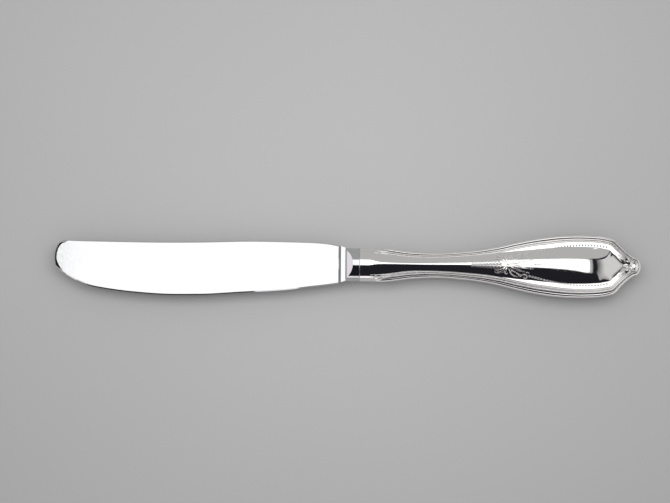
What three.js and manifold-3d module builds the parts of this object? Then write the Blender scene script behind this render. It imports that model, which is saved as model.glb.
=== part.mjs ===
// Fruit knife with a hollow handle.
//
// A polished steel blade and its tang are one piece. A bolster is slotted over the tang, two stamped
// half shells make the handle, and a cement core inside them grips the tang.
// Millimetres, +Z up. X runs from the tip of the blade to the end of the handle, and the spine of the
// blade faces +Y. The knife lies on its back shell, with its middle plane level.

import * as THREE from 'three';
import { mergeVertices } from 'three/addons/utils/BufferGeometryUtils.js';
import Module from 'manifold-3d';

// Blade
const blade_length = 85.4;
const spine_height = 6.9;          // greatest height of the spine above the knife's axis
const belly_depth = 9.45;          // greatest depth of the cutting edge below the axis
const root_spine_height = 5.65;
const root_edge_depth = 5.7;
const root_spine_thickness = 1.9;
const root_edge_thickness = 0.9;
const tip_spine_thickness = 1.4;
const edge_bevel = 1.0;            // width of the ground strip along the cutting edge
const tip_bevel = 0.75;            // width of the rounded rim round the tip
const spine_bevel = 0.15;
const edge_thickness = 0.12;

// Tang
const tang_width = 3.2;            // slim enough for the core to close round it at the waist
const tang_thickness = 1.1;
const tang_length = 32;            // from the shoulder of the blade to the tang's end
const tang_taper_length = 9;
const tang_tip_width = 2.2;
const tang_root = 1.5;             // how far the tang's bar runs into the blade
const braze_film = 0.15;

// Bolster
const bolster_length = 6.3;        // from the shoulder of the blade to the fine line at the handle
const bolster_lip_thickness = 2.3;
const collar_thickness = 3.8;
const collar_bevel = 0.75;
const collar_length = 2.1;
const step_length = 0.5;
const step_thickness = 4.6;
const facet_length = 1.7;          // measured along the middle of the facet

// Handle
const handle_length = 84.4;
const neck_width = 9.95;
const neck_thickness = 7.6;
const swell_width = 10.15;
const swell_thickness = 8.1;
const waist_width = 7.5;
const waist_thickness = 6.9;
const bulb_width = 19.05;
const bulb_thickness = 10;
const shoulder_half_width = 8.55;
const nub_half_width = 2.75;
const nub_length = 2.1;
const shell_wall = 0.6;
const seam_thickness = 0.1;
const mouth_solder_thickness = 0.25;
const core_gap = 0.3;              // clear all round between the cement core and the metal

// Border of the handle
const thread_zone = 2.5;           // width of the three threads at the bulb
const rail_width = 1.4;            // flat rail between the threads and the boss
const rail_height = 2.85;          // above the middle plane, at the bulb
const waist_rail_height = 2.5;
const nub_height = 2.3;

const cut_overrun = 2;

// Steps
const blade_steps = 3;             // between two points of the blade's outline
const handle_steps = 34;
const flank_steps = 5;
const nub_steps = 5;
const oval_steps = 48;

// Places along the knife
const knife_length = blade_length + bolster_length + handle_length;
const shoulder_x = blade_length - knife_length / 2;
const mouth_x = shoulder_x + bolster_length;
const tang_end_x = shoulder_x + tang_length;
const half_seam = seam_thickness / 2;

// The mouth solder lies between these two faces.
const neck_end_x = mouth_x - mouth_solder_thickness / 2;
const shell_start_x = mouth_x + mouth_solder_thickness / 2;

const wasm = await Module();
wasm.setup();

// Curves through chosen points

function curve_through(knots) {
  const places = knots.map((knot) => knot[0]);
  const values = knots.map((knot) => knot[1]);
  const curve = new THREE.CubicInterpolant(places, values, 1);
  return (place) => curve.evaluate(THREE.MathUtils.clamp(place, places[0], places.at(-1)))[0];
}

function line_through(knots) {
  const places = knots.map((knot) => knot[0]);
  const values = knots.map((knot) => knot[1]);
  const line = new THREE.LinearInterpolant(places, values, 1);
  return (place) => line.evaluate(THREE.MathUtils.clamp(place, places[0], places.at(-1)))[0];
}

const along_handle = (knots) => knots.map(([share, value]) => [share * handle_length, value]);

// Meshes and solids

class MeshBuilder {
  constructor() {
    this.points = [];
    this.faces = [];
  }

  add_point(x, y, z) {
    this.points.push(new THREE.Vector3(x, y, z));
    return this.points.length - 1;
  }

  add_strip(row, next_row) {
    for (let j = 0; j + 1 < row.length; j += 1) {
      this.faces.push([row[j], row[j + 1], next_row[j + 1]]);
      this.faces.push([row[j], next_row[j + 1], next_row[j]]);
    }
  }

  // A flat face with any outline, wound so that it faces along outward.
  add_flat_face(ring, outward) {
    const across = new THREE.Vector3(outward.y, outward.z, outward.x).cross(outward).normalize();
    const up = outward.clone().cross(across).normalize();
    const flat = ring.map((index) => {
      const point = this.points[index];
      return new THREE.Vector2(point.dot(across), point.dot(up));
    });
    const anticlockwise = THREE.ShapeUtils.area(flat) > 0;
    const order = ring.map((_, k) => (anticlockwise ? k : ring.length - 1 - k));
    const contour = order.map((k) => flat[k]);
    for (const face of THREE.ShapeUtils.triangulateShape(contour, [])) {
      this.faces.push(face.map((k) => ring[order[k]]));
    }
  }

  geometry() {
    const geometry = new THREE.BufferGeometry();
    const places = this.points.flatMap((point) => point.toArray());
    geometry.setAttribute('position', new THREE.Float32BufferAttribute(places, 3));
    geometry.setIndex(this.faces.flat());
    return geometry;
  }
}

function solid_of(geometry) {
  const bare = geometry.clone();
  bare.deleteAttribute('normal');
  bare.deleteAttribute('uv');
  const merged = mergeVertices(bare);
  const places = merged.attributes.position.array;
  const corners = merged.index.array;
  const kept = [];
  for (let k = 0; k < corners.length; k += 3) {
    const [a, b, c] = corners.slice(k, k + 3);
    if (a !== b && b !== c && c !== a) kept.push(a, b, c);
  }
  const mesh = new wasm.Mesh({
    numProp: 3,
    vertProperties: new Float32Array(places),
    triVerts: new Uint32Array(kept),
  });
  return new wasm.Manifold(mesh);
}

function geometry_of(solid) {
  const mesh = solid.getMesh();
  const geometry = new THREE.BufferGeometry();
  geometry.setAttribute('position', new THREE.BufferAttribute(new Float32Array(mesh.vertProperties), 3));
  geometry.setIndex(new THREE.BufferAttribute(new Uint32Array(mesh.triVerts), 1));
  return geometry;
}

// Blade outline, from the shoulder along the spine, round the tip and back along the cutting edge.
// Shares are of the blade's length from the tip, and of the spine's height or the belly's depth.

const spine_shares = [[0.971, 0.89], [0.93, 0.944], [0.865, 0.972], [0.69, 1], [0.514, 0.946],
  [0.36, 0.93], [0.198, 0.952], [0.092, 0.971], [0.057, 0.99], [0.043, 0.986]];
const tip_spine_shares = [[0.0292, 0.905], [0.0151, 0.71], [0.0063, 0.54], [0.0014, 0.34], [0, 0.188]];
const tip_edge_shares = [[0.0028, 0.016], [0.0116, -0.127], [0.0221, -0.227], [0.0362, -0.35]];
const edge_shares = [[0.0573, -0.49], [0.0924, -0.623], [0.1275, -0.721], [0.163, -0.79],
  [0.233, -0.883], [0.303, -0.946], [0.39, -0.995], [0.461, -1], [0.549, -0.98], [0.655, -0.915],
  [0.76, -0.857], [0.83, -0.805], [0.9, -0.72], [0.953, -0.663]];

function blade_outline() {
  const place = (height) => ([share_x, share_y]) =>
    new THREE.Vector3(shoulder_x - blade_length * (1 - share_x), height * share_y, 0);
  const knots = [
    new THREE.Vector3(shoulder_x, root_spine_height, 0),
    ...spine_shares.map(place(spine_height)),
    ...tip_spine_shares.map(place(spine_height)),
    ...tip_edge_shares.map(place(belly_depth)),
    ...edge_shares.map(place(belly_depth)),
    new THREE.Vector3(shoulder_x, -root_edge_depth, 0),
  ];
  return new THREE.CatmullRomCurve3(knots, false, 'centripetal');
}

// Half the blade's thickness. It is a plane, thinner towards the cutting edge and the tip.
function blade_half_thickness(x, y) {
  const root_depth = root_spine_height + root_edge_depth;
  const grind = (root_spine_thickness - root_edge_thickness) / 2 / root_depth;
  const taper = (root_spine_thickness - tip_spine_thickness) / 2 / blade_length;
  return root_spine_thickness / 2 - grind * (root_spine_height - y) - taper * (shoulder_x - x);
}

// The rim has a narrow bevel along the spine, a rounded rim round the tip, and the ground strip along
// the cutting edge. Places are counted in points of the outline.
const tip_start = spine_shares.length;
const tip_end = tip_start + tip_spine_shares.length + tip_edge_shares.length;
const outline_end = tip_end + edge_shares.length + 1;
const spine_rim_share = 0.9;
const tip_rim_share = 0.3;

const bevel_at = line_through([[0, spine_bevel], [tip_start, spine_bevel], [tip_start + 2, tip_bevel],
  [tip_end - 1, tip_bevel], [tip_end + 1, edge_bevel], [outline_end - 2, edge_bevel],
  [outline_end, spine_bevel]]);

function rim_half_thickness(place, face_z) {
  const spine_rim = spine_rim_share * face_z;
  return line_through([[0, spine_rim], [tip_start, spine_rim], [tip_start + 2, tip_rim_share * face_z],
    [tip_end - 1, tip_rim_share * face_z], [tip_end + 1, edge_thickness / 2],
    [outline_end - 2, edge_thickness / 2], [outline_end, spine_rim]])(place);
}

function blade_geometry() {
  const outline = blade_outline();
  const builder = new MeshBuilder();
  const rows = [];
  const steps = outline_end * blade_steps;
  for (let k = 0; k <= steps; k += 1) {
    const point = outline.getPoint(k / steps);
    const tangent = outline.getTangent(k / steps);
    const at_shoulder = k === 0 || k === steps;
    const inward = new THREE.Vector2(-tangent.y, tangent.x);
    if (at_shoulder) inward.set(0, -Math.sign(point.y));
    const inner = inward.multiplyScalar(bevel_at(k / blade_steps)).add(point);
    const face_z = blade_half_thickness(inner.x, inner.y);
    const rim_z = rim_half_thickness(k / blade_steps, face_z);
    rows.push([
      builder.add_point(inner.x, inner.y, face_z),
      builder.add_point(point.x, point.y, rim_z),
      builder.add_point(point.x, point.y, -rim_z),
      builder.add_point(inner.x, inner.y, -face_z),
    ]);
  }
  for (let k = 0; k < steps; k += 1) builder.add_strip(rows[k], rows[k + 1]);
  builder.add_flat_face(rows.map((row) => row[0]), new THREE.Vector3(0, 0, 1));
  builder.add_flat_face(rows.map((row) => row[3]), new THREE.Vector3(0, 0, -1));
  builder.add_flat_face([...rows[0], ...rows.at(-1).toReversed()], new THREE.Vector3(1, 0, 0));
  return builder.geometry();
}

// A bar with a tapered end, grown all round by gap. The tang fills it, and the bolster's slot and the
// core's slot are cut with it.
function tang_bar(start_x, bar_end_x, gap) {
  const shape = new THREE.Shape();
  const half_width = tang_width / 2 + gap;
  const tip_half_width = tang_tip_width / 2 + gap;
  const taper_x = shoulder_x + tang_length - tang_taper_length;
  shape.moveTo(start_x, half_width);
  if (bar_end_x > taper_x) {
    shape.lineTo(taper_x, half_width);
    shape.lineTo(bar_end_x, tip_half_width);
    shape.lineTo(bar_end_x, -tip_half_width);
    shape.lineTo(taper_x, -half_width);
  } else {
    shape.lineTo(bar_end_x, half_width);
    shape.lineTo(bar_end_x, -half_width);
  }
  shape.lineTo(start_x, -half_width);
  const thickness = tang_thickness + 2 * gap;
  const bar = new THREE.ExtrudeGeometry(shape, { depth: thickness, bevelEnabled: false });
  return solid_of(bar.translate(0, 0, -thickness / 2));
}

function make_blade() {
  const body = solid_of(blade_geometry());
  return body.add(tang_bar(shoulder_x - tang_root, tang_end_x, 0));
}

function make_tang_braze() {
  const sleeve = tang_bar(shoulder_x, neck_end_x, braze_film);
  return sleeve.subtract(tang_bar(shoulder_x - cut_overrun, neck_end_x + cut_overrun, 0));
}

// Bolster: a plan outline and a side outline cut each other.

function bolster_plan() {
  const collar_end_x = shoulder_x + collar_length;
  const collar = new THREE.Shape();
  collar.moveTo(shoulder_x, -root_edge_depth);
  collar.lineTo(collar_end_x, -neck_width / 2);
  collar.lineTo(collar_end_x, neck_width / 2);
  collar.lineTo(shoulder_x, root_spine_height);
  const plate = new THREE.ExtrudeGeometry(collar, { depth: collar_thickness, bevelEnabled: false });
  const oval = new THREE.Shape();
  oval.absellipse(0, 0, neck_width / 2, neck_thickness / 2, 0, 2 * Math.PI);
  const neck_length = neck_end_x - shoulder_x - collar_bevel;
  const settings = { depth: neck_length, bevelEnabled: false, curveSegments: oval_steps };
  const neck = new THREE.ExtrudeGeometry(oval, settings);
  neck.rotateX(Math.PI / 2);
  neck.rotateZ(Math.PI / 2);
  neck.translate(neck_end_x - neck_length, 0, 0);
  return solid_of(plate.translate(0, 0, -collar_thickness / 2)).add(solid_of(neck));
}

function bolster_side() {
  const step_x = shoulder_x + collar_length;
  const facet_x = step_x + step_length;
  const neck_x = facet_x + facet_length;
  const outline = [
    [shoulder_x, bolster_lip_thickness / 2],
    [shoulder_x + collar_bevel, collar_thickness / 2],
    [step_x, collar_thickness / 2],
    [facet_x, step_thickness / 2],
    [neck_x, neck_thickness / 2],
    [neck_x, neck_thickness],
    [neck_end_x + cut_overrun, neck_thickness],
  ];
  const corners = outline.map(([x, z]) => new THREE.Vector2(x, z));
  const mirrored = outline.map(([x, z]) => new THREE.Vector2(x, -z)).toReversed();
  const shape = new THREE.Shape([...corners, ...mirrored]);
  const depth = neck_width * 2;
  const side = new THREE.ExtrudeGeometry(shape, { depth, bevelEnabled: false });
  side.rotateX(Math.PI / 2);
  return solid_of(side.translate(0, depth / 2, 0));
}

function make_bolster() {
  const slot = tang_bar(shoulder_x - cut_overrun, neck_end_x + cut_overrun, braze_film);
  return bolster_plan().intersect(bolster_side()).subtract(slot);
}

// Handle outline. Widths run along the axis from the mouth to the shoulder, a straight flank leads to
// the nub, and an arc closes the nub. Places are shares of the handle's length. The second share runs
// from the first of the two named sizes to the other.

const swell_share = 0.091;
const waist_share = 0.284;
const bulb_share = 0.77;
const shoulder_share = 0.893;
const flare_shares = [[0.345, 0.055], [0.415, 0.16], [0.486, 0.345], [0.557, 0.595], [0.628, 0.81],
  [0.7, 0.95], [bulb_share, 1]];
const bulb_fall_shares = [[0.8315, 0.18], [shoulder_share, 1]];
const flank_shares = [[0, 0], [0.2, 0.21], [0.42, 0.45], [0.64, 0.665], [0.84, 0.853], [1, 1]];
const crown_rise_shares = [[0.53, 0.5], [0.7, 0.97], [bulb_share, 1]];
const crown_fall_shares = [[0.82, 0.03], [0.85, 0.16], [0.9, 0.58], [0.94, 0.88], [0.97, 1], [1, 1]];
const rail_rise_shares = [[0, 0], [waist_share, 0], [0.53, 0.6], [bulb_share, 1], [shoulder_share, 1]];
const rail_fall_shares = [[0.96, 1], [1, 1]];

const between = (shares, first, second) => shares.map(([place, share]) =>
  [place, THREE.MathUtils.lerp(first, second, share)]);

const half_width_at = curve_through(along_handle([
  [0, neck_width / 2],
  [swell_share / 2, (neck_width + swell_width) / 4],
  [swell_share, swell_width / 2],
  [(swell_share + waist_share) / 2, (swell_width + 3 * waist_width) / 8],
  [waist_share, waist_width / 2],
  ...between(flare_shares, waist_width / 2, bulb_width / 2),
  ...between(bulb_fall_shares, bulb_width / 2, shoulder_half_width),
]));

const crown_at = curve_through(along_handle([
  [0, neck_thickness / 2],
  [swell_share, swell_thickness / 2],
  [waist_share, waist_thickness / 2],
  ...between(crown_rise_shares, waist_thickness / 2, bulb_thickness / 2),
  ...between(crown_fall_shares, bulb_thickness / 2, nub_height),
]));

const rail_height_at = curve_through(along_handle([
  ...between(rail_rise_shares, waist_rail_height, rail_height),
  ...between(rail_fall_shares, rail_height, nub_height),
]));

const thread_scale_shares = [[0, 0.75], [0.35, 0.75], [0.7, 1], [shoulder_share, 1], [0.95, 0.78], [1, 0.7]];
const rail_scale_shares = [[0, 0], [0.545, 0], [0.71, 1], [0.87, 1], [0.93, 0], [1, 0]];
const border_scale_shares = [[0, 0], [0.04, 0], [0.11, 1], [1, 1]];

const thread_scale_at = line_through(along_handle(thread_scale_shares));
const rail_scale_at = line_through(along_handle(rail_scale_shares));
const border_scale_at = line_through(along_handle(border_scale_shares));

// Where the section line from each outline point meets the axis, as shares of the handle's length.
const fan_start_share = 0.7;
const fan_shoulder_share = 0.845;
const fan_nub_share = 0.955;
const fan_end_share = 0.975;

function handle_outline() {
  const shoulder = shoulder_share * handle_length;
  const points = [];
  for (let k = 0; k <= handle_steps; k += 1) {
    const s = (shoulder * k) / handle_steps;
    const fan_start = fan_start_share * handle_length;
    const fanned = THREE.MathUtils.mapLinear(s, fan_start, shoulder, fan_start,
      fan_shoulder_share * handle_length);
    points.push({ s, y: half_width_at(s), target: Math.min(s, fanned) });
  }
  const nub_start = handle_length - nub_length;
  const flank_at = curve_through(flank_shares);
  for (let k = 1; k <= flank_steps; k += 1) {
    const share = k / flank_steps;
    points.push({
      s: THREE.MathUtils.lerp(shoulder, nub_start, share),
      y: THREE.MathUtils.lerp(shoulder_half_width, nub_half_width, flank_at(share)),
      target: THREE.MathUtils.lerp(fan_shoulder_share, fan_nub_share, share) * handle_length,
    });
  }
  for (let k = 1; k <= nub_steps; k += 1) {
    const share = k / nub_steps;
    const angle = (share * Math.PI) / 2;
    points.push({
      s: nub_start + nub_length * Math.sin(angle),
      y: k === nub_steps ? 0 : nub_half_width * Math.cos(angle),
      target: THREE.MathUtils.lerp(fan_nub_share, fan_end_share, share) * handle_length,
    });
  }
  return points;
}

// A section line runs inward from a point of the outline to the axis. Its stretch is how much longer
// a distance is along the line than square to the outline.
function section_lines() {
  const outline = handle_outline();
  const last = outline.length - 1;
  return outline.map((point, k) => {
    const before = k === 0 ? outline[0] : outline[k - 1];
    const after = k === last ? { s: before.s, y: -before.y } : outline[k + 1];
    const inward = new THREE.Vector2(point.target - point.s, -point.y);
    const length = inward.length();
    inward.normalize();
    const normals = [[before, point], [point, after]].filter(([a, b]) => a !== b).map(([a, b]) =>
      new THREE.Vector2(b.y - a.y, a.s - b.s).normalize().dot(inward));
    const square = normals.reduce((sum, value) => sum + value, 0) / normals.length;
    return { ...point, inward, length, stretch: 1 / square };
  });
}

// How far the border reaches inward along a section line, and how high it stands.
function border_of(line) {
  const threads = thread_zone * thread_scale_at(line.s) * line.stretch;
  const boss_start = threads + rail_width * rail_scale_at(line.s) * line.stretch;
  const rail_z = rail_height_at(line.s);
  return { threads, boss_start, boss: line.length - boss_start, rail_z, crown: crown_at(line.target) };
}

// Near the mouth the section is a plain oval, and it turns into the bordered section along the swell.
function blended_section(line, bordered, inset) {
  const border = border_scale_at(line.s);
  const height = crown_at(line.target) - inset;
  return bordered.map(([distance, z], k) => {
    const angle = ((k / (bordered.length - 1)) * Math.PI) / 2;
    const oval_distance = inset + (line.length - inset) * (1 - Math.cos(angle));
    return [
      THREE.MathUtils.lerp(oval_distance, distance, border),
      THREE.MathUtils.lerp(height * Math.sin(angle), z, border),
    ];
  });
}

// Section of a half shell, from the seam inward and up to the crown. In the profile the first share is
// of the thread zone's width and the second of the rail's height.
const thread_profile_shares = [[0, 0], [0, 0.34], [0.05, 0.56], [0.17, 0.68], [0.33, 0.54], [0.49, 0.84],
  [0.66, 0.77], [0.82, 0.97], [1, 0.92]];
const rail_lip_share = 0.15;
const boss_line_shares = [0.04, 0.12, 0.28, 0.5, 0.75, 1];
const boss_roundness_share = 0.65;

function boss_rise(share) {
  return (1 - (1 - share) ** 2) ** boss_roundness_share;
}

function shell_section(line) {
  const { threads, boss_start, boss, rail_z, crown } = border_of(line);
  const bordered = [
    ...thread_profile_shares.map(([share, height]) => [threads * share, rail_z * height]),
    [THREE.MathUtils.lerp(threads, boss_start, rail_lip_share), rail_z],
    [boss_start, rail_z],
    ...boss_line_shares.map((share) => [
      boss_start + boss * share,
      THREE.MathUtils.lerp(rail_z, crown, boss_rise(share)),
    ]),
  ];
  return blended_section(line, bordered, 0);
}

// Section of the hollow, one wall's thickness inside the shell. The core is the same section with a
// gap all round, so both come from here.
const hollow_side_share = 0.3;
const hollow_step_shares = [0.62, 0.58];
const hollow_rail_shares = [1.06, 0.92];
const hollow_boss_shares = [0.14, 0.4, 0.7, 1];

function hollow_section(line, gap) {
  const { threads, boss_start, boss, rail_z, crown } = border_of(line);
  const inset = shell_wall + gap;
  const side = inset * line.stretch;
  const bordered = [
    [side, 0],
    [side, rail_z * hollow_side_share - gap],
    [threads * hollow_step_shares[0] + gap, rail_z * hollow_step_shares[1] - inset],
    [threads * hollow_rail_shares[0] + gap, rail_z * hollow_rail_shares[1] - inset],
    ...hollow_boss_shares.map((share) => [
      boss_start + boss * share,
      THREE.MathUtils.lerp(rail_z, crown, boss_rise(share)) - inset,
    ]),
  ];
  return blended_section(line, bordered, inset);
}

// A closed body over a level base, from section lines on the +Y side and their mirror.
function half_body(lines, section_of, base_z, start_x) {
  const builder = new MeshBuilder();
  const place = (line, mirror) => section_of(line).map(([distance, z], k, all) => {
    const x = line.s === 0 ? start_x : mouth_x + line.s + line.inward.x * distance;
    const y = k === all.length - 1 ? 0 : line.y + line.inward.y * distance;
    return builder.add_point(x, mirror * y, k === 0 ? base_z : z);
  });
  const closes = lines.at(-1).y === 0;
  const near = lines.map((line) => place(line, 1));
  const far = (closes ? lines.slice(0, -1) : lines).map((line) => place(line, -1)).toReversed();
  const rows = [...near, ...far];
  for (let k = 0; k + 1 < near.length; k += 1) builder.add_strip(near[k], near[k + 1]);
  for (let k = 0; k + 1 < far.length; k += 1) builder.add_strip(far[k], far[k + 1]);
  const base = rows.map((row) => row[0]);
  if (closes) {
    builder.add_strip(near.at(-1), far[0]);
  } else {
    const top = builder.points[near.at(-1).at(-1)];
    const foot = builder.add_point(top.x, top.y, base_z);
    const side = new THREE.Vector3(lines.at(-1).y, mouth_x + lines.at(-1).s - top.x, 0);
    builder.add_flat_face([...near.at(-1), foot], side);
    side.y = -side.y;
    builder.add_flat_face([...far[0], foot], side);
    base.splice(near.length, 0, foot);
  }
  builder.add_flat_face(base, new THREE.Vector3(0, 0, -1));
  builder.add_flat_face([...near[0], ...far.at(-1).toReversed()], new THREE.Vector3(-1, 0, 0));
  return solid_of(builder.geometry());
}

const mirrored_back = (solid) => solid.mirror([0, 0, 1]);
const lines = section_lines();
const hollow_end_share = 0.4;
const hollow_line_count = handle_steps + 1 + Math.round(flank_steps * hollow_end_share);
const hollow_lines = lines.slice(0, hollow_line_count);
const hollow_at = (gap) => (line) => hollow_section(line, gap);

function make_front_shell() {
  const outer = half_body(lines, shell_section, half_seam, shell_start_x);
  const hollow = half_body(hollow_lines, hollow_at(0), -cut_overrun, shell_start_x - cut_overrun);
  return outer.subtract(hollow);
}

// Flat outlines at the seam and at the mouth, for the two thin pieces of solder.

function ring_of_points(section_lines_used, distance_of) {
  const near = section_lines_used.map((line) => {
    const distance = distance_of(line);
    const x = line.s === 0 ? shell_start_x : mouth_x + line.s + line.inward.x * distance;
    return new THREE.Vector2(x, line.y + line.inward.y * distance);
  });
  const far = near.map((point) => new THREE.Vector2(point.x, -point.y)).toReversed();
  return near.at(-1).y === 0 ? [...near, ...far.slice(1)] : [...near, ...far];
}

function make_seam_solder() {
  const outer = ring_of_points(lines, () => 0);
  const inner = ring_of_points(hollow_lines, (line) => hollow_section(line, 0)[0][0]);
  const target = new THREE.Vector2(mouth_x + hollow_lines.at(-1).target, 0);
  inner.splice(hollow_lines.length, 0, target);
  const shape = new THREE.Shape([...outer, ...inner.toReversed()]);
  const strip = new THREE.ExtrudeGeometry(shape, { depth: seam_thickness, bevelEnabled: false });
  return solid_of(strip.translate(0, 0, -half_seam));
}

function mouth_outline(section) {
  const quarter = section.map(([distance, z]) => new THREE.Vector2(neck_width / 2 - distance, z));
  const half = [...quarter, ...quarter.slice(0, -1).toReversed().map((p) => new THREE.Vector2(-p.x, p.y))];
  return [...half, ...half.slice(1, -1).toReversed().map((p) => new THREE.Vector2(p.x, -p.y))];
}

function make_mouth_solder() {
  const shape = new THREE.Shape(mouth_outline(shell_section(lines[0])));
  shape.holes.push(new THREE.Path(mouth_outline(hollow_section(lines[0], 0))));
  const settings = { depth: mouth_solder_thickness, bevelEnabled: false };
  const ring = new THREE.ExtrudeGeometry(shape, settings);
  ring.rotateX(Math.PI / 2);
  ring.rotateZ(Math.PI / 2);
  return solid_of(ring.translate(neck_end_x, 0, 0));
}

function make_handle_filler() {
  const front = half_body(hollow_lines, hollow_at(core_gap), 0, shell_start_x + core_gap);
  const slot = tang_bar(shoulder_x, tang_end_x + core_gap, core_gap);
  return front.add(mirrored_back(front)).subtract(slot);
}

// Finishes

const polished_steel = { color: 0xd9dadd, roughness: 0.06, metalness: 1 };
const polished_handle = { color: 0xe2e0df, roughness: 0.08, metalness: 1 };
const solder_finish = { color: 0xb9b8b4, roughness: 0.35, metalness: 1 };
const cement_finish = { color: 0xb7b0a4, roughness: 0.9, metalness: 0 };

// Assembly

const knife = new THREE.Group();
const middle_y = (belly_depth - bulb_width / 2) / 2;
knife.position.set(0, middle_y, bulb_thickness / 2);

function add_piece(name, solid, finish) {
  const material = new THREE.MeshStandardMaterial({ ...finish, flatShading: true });
  const mesh = new THREE.Mesh(geometry_of(solid), material);
  mesh.name = name;
  knife.add(mesh);
}

const front_shell = make_front_shell();
add_piece('blade', make_blade(), polished_steel);
add_piece('bolster', make_bolster(), polished_steel);
add_piece('tang_braze', make_tang_braze(), solder_finish);
add_piece('mouth_solder', make_mouth_solder(), solder_finish);
add_piece('handle_front_shell', front_shell, polished_handle);
add_piece('handle_back_shell', mirrored_back(front_shell), polished_handle);
add_piece('seam_solder', make_seam_solder(), solder_finish);
add_piece('handle_filler', make_handle_filler(), cement_finish);

export default knife;
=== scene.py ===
"""Fruit knife with a hollow handle.

The tools below dress the knife round its fixed frame: the polished blade, the bolster, the two
stamped half shells of the handle with their beads and leaf work, the lines of solder, the cement
core and the stage. X runs from the tip of the blade to the end of the handle, the spine of the
blade faces +Y, and the knife lies on its back shell. All sizes are in metres.
"""

import math

import bmesh
import bpy
import numpy as np
from bpy.props import FloatProperty, FloatVectorProperty, PointerProperty
from mathutils import Matrix, Vector
from mathutils.bvhtree import BVHTree


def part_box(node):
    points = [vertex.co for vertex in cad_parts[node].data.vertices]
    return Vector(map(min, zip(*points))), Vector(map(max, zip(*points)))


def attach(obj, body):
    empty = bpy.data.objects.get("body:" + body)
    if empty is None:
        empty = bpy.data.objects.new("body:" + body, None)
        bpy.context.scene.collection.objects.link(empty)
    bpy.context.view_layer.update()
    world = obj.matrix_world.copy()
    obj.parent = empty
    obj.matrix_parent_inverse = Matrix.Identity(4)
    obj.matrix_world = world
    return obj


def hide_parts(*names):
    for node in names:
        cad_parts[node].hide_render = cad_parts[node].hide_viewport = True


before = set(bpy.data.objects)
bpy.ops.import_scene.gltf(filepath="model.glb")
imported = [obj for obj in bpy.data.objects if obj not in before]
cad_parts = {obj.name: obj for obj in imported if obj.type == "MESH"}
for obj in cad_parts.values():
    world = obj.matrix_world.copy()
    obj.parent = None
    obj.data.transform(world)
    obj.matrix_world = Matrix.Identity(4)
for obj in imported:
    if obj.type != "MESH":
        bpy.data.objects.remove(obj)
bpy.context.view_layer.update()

bl_info = {
    "name": "Fruit knife",
    "version": (1, 0, 0),
    "blender": (4, 5, 0),
    "location": "3D View > Sidebar > Fruit knife",
    "description": "Builds a hollow-handled fruit knife round its fixed frame",
    "category": "Add Mesh",
}

MM = 0.001

# Places taken from the frame
BLADE_LOW, BLADE_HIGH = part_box("blade")
BOLSTER_LOW, BOLSTER_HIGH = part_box("bolster")
RING_LOW, RING_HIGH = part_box("mouth_solder")
SEAM_LOW, SEAM_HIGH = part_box("seam_solder")
SHELL_LOW, SHELL_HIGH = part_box("handle_front_shell")

MIDDLE_Y = (SHELL_LOW.y + SHELL_HIGH.y) / 2
MIDDLE_Z = (SEAM_LOW.z + SEAM_HIGH.z) / 2
HALF_SEAM = (SEAM_HIGH.z - SEAM_LOW.z) / 2
TIP_X = BLADE_LOW.x
SHOULDER_X = BOLSTER_LOW.x
TANG_END_X = BLADE_HIGH.x
MOUTH_X = (RING_LOW.x + RING_HIGH.x) / 2
BLADE_LENGTH = SHOULDER_X - TIP_X
SPINE_HEIGHT = BLADE_HIGH.y - MIDDLE_Y
BELLY_DEPTH = MIDDLE_Y - BLADE_LOW.y
HANDLE_LENGTH = SHELL_HIGH.x - MOUTH_X
BULB_HALF_WIDTH = (SHELL_HIGH.y - SHELL_LOW.y) / 2
BULB_CROWN = SHELL_HIGH.z - MIDDLE_Z


def size(name, description, millimetres):
    """A length that the user can change."""
    return FloatProperty(
        name=name, description=description, default=millimetres * MM,
        unit="LENGTH", subtype="DISTANCE", precision=5,
    )


def colour(name, description, value):
    """A colour that the user can change."""
    return FloatVectorProperty(
        name=name, description=description, default=value,
        subtype="COLOR", size=3, min=0, max=1,
    )


def share(name, description, value):
    """A share from 0 to 1 that the user can change."""
    return FloatProperty(
        name=name, description=description, default=value,
        min=0, max=1, subtype="FACTOR", precision=3,
    )


class BladeSizes(bpy.types.PropertyGroup):
    root_spine_height: size("Spine at shoulder", "Height of the spine at the shoulder", 5.65)
    root_edge_depth: size("Edge at shoulder", "Depth of the edge at the shoulder", 5.7)
    root_spine_thickness: size("Spine thickness", "At the shoulder", 1.9)
    root_edge_thickness: size("Edge thickness", "Of the flats at the heel", 0.9)
    tip_spine_thickness: size("Tip thickness", "Of the spine at the tip", 1.4)
    spine_round: size("Spine rounding", "Radius along the spine", 0.3)
    tip_rim: size("Tip rim", "Width of the rounded rim at the tip", 0.85)
    edge_bevel: size("Edge bevel", "Width of the ground bevel at the edge", 0.3)
    edge_thickness: size("Sharp edge", "Thickness left at the cutting edge", 0.05)
    tang_width: size("Tang width", "Width of the flat tang", 3.2)
    tang_thickness: size("Tang thickness", "Thickness of the flat tang", 1.1)
    tang_taper: size("Tang taper", "Length of the tapered end of the tang", 9.0)
    tang_tip_width: size("Tang tip", "Width at the end of the tang", 2.2)


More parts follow.
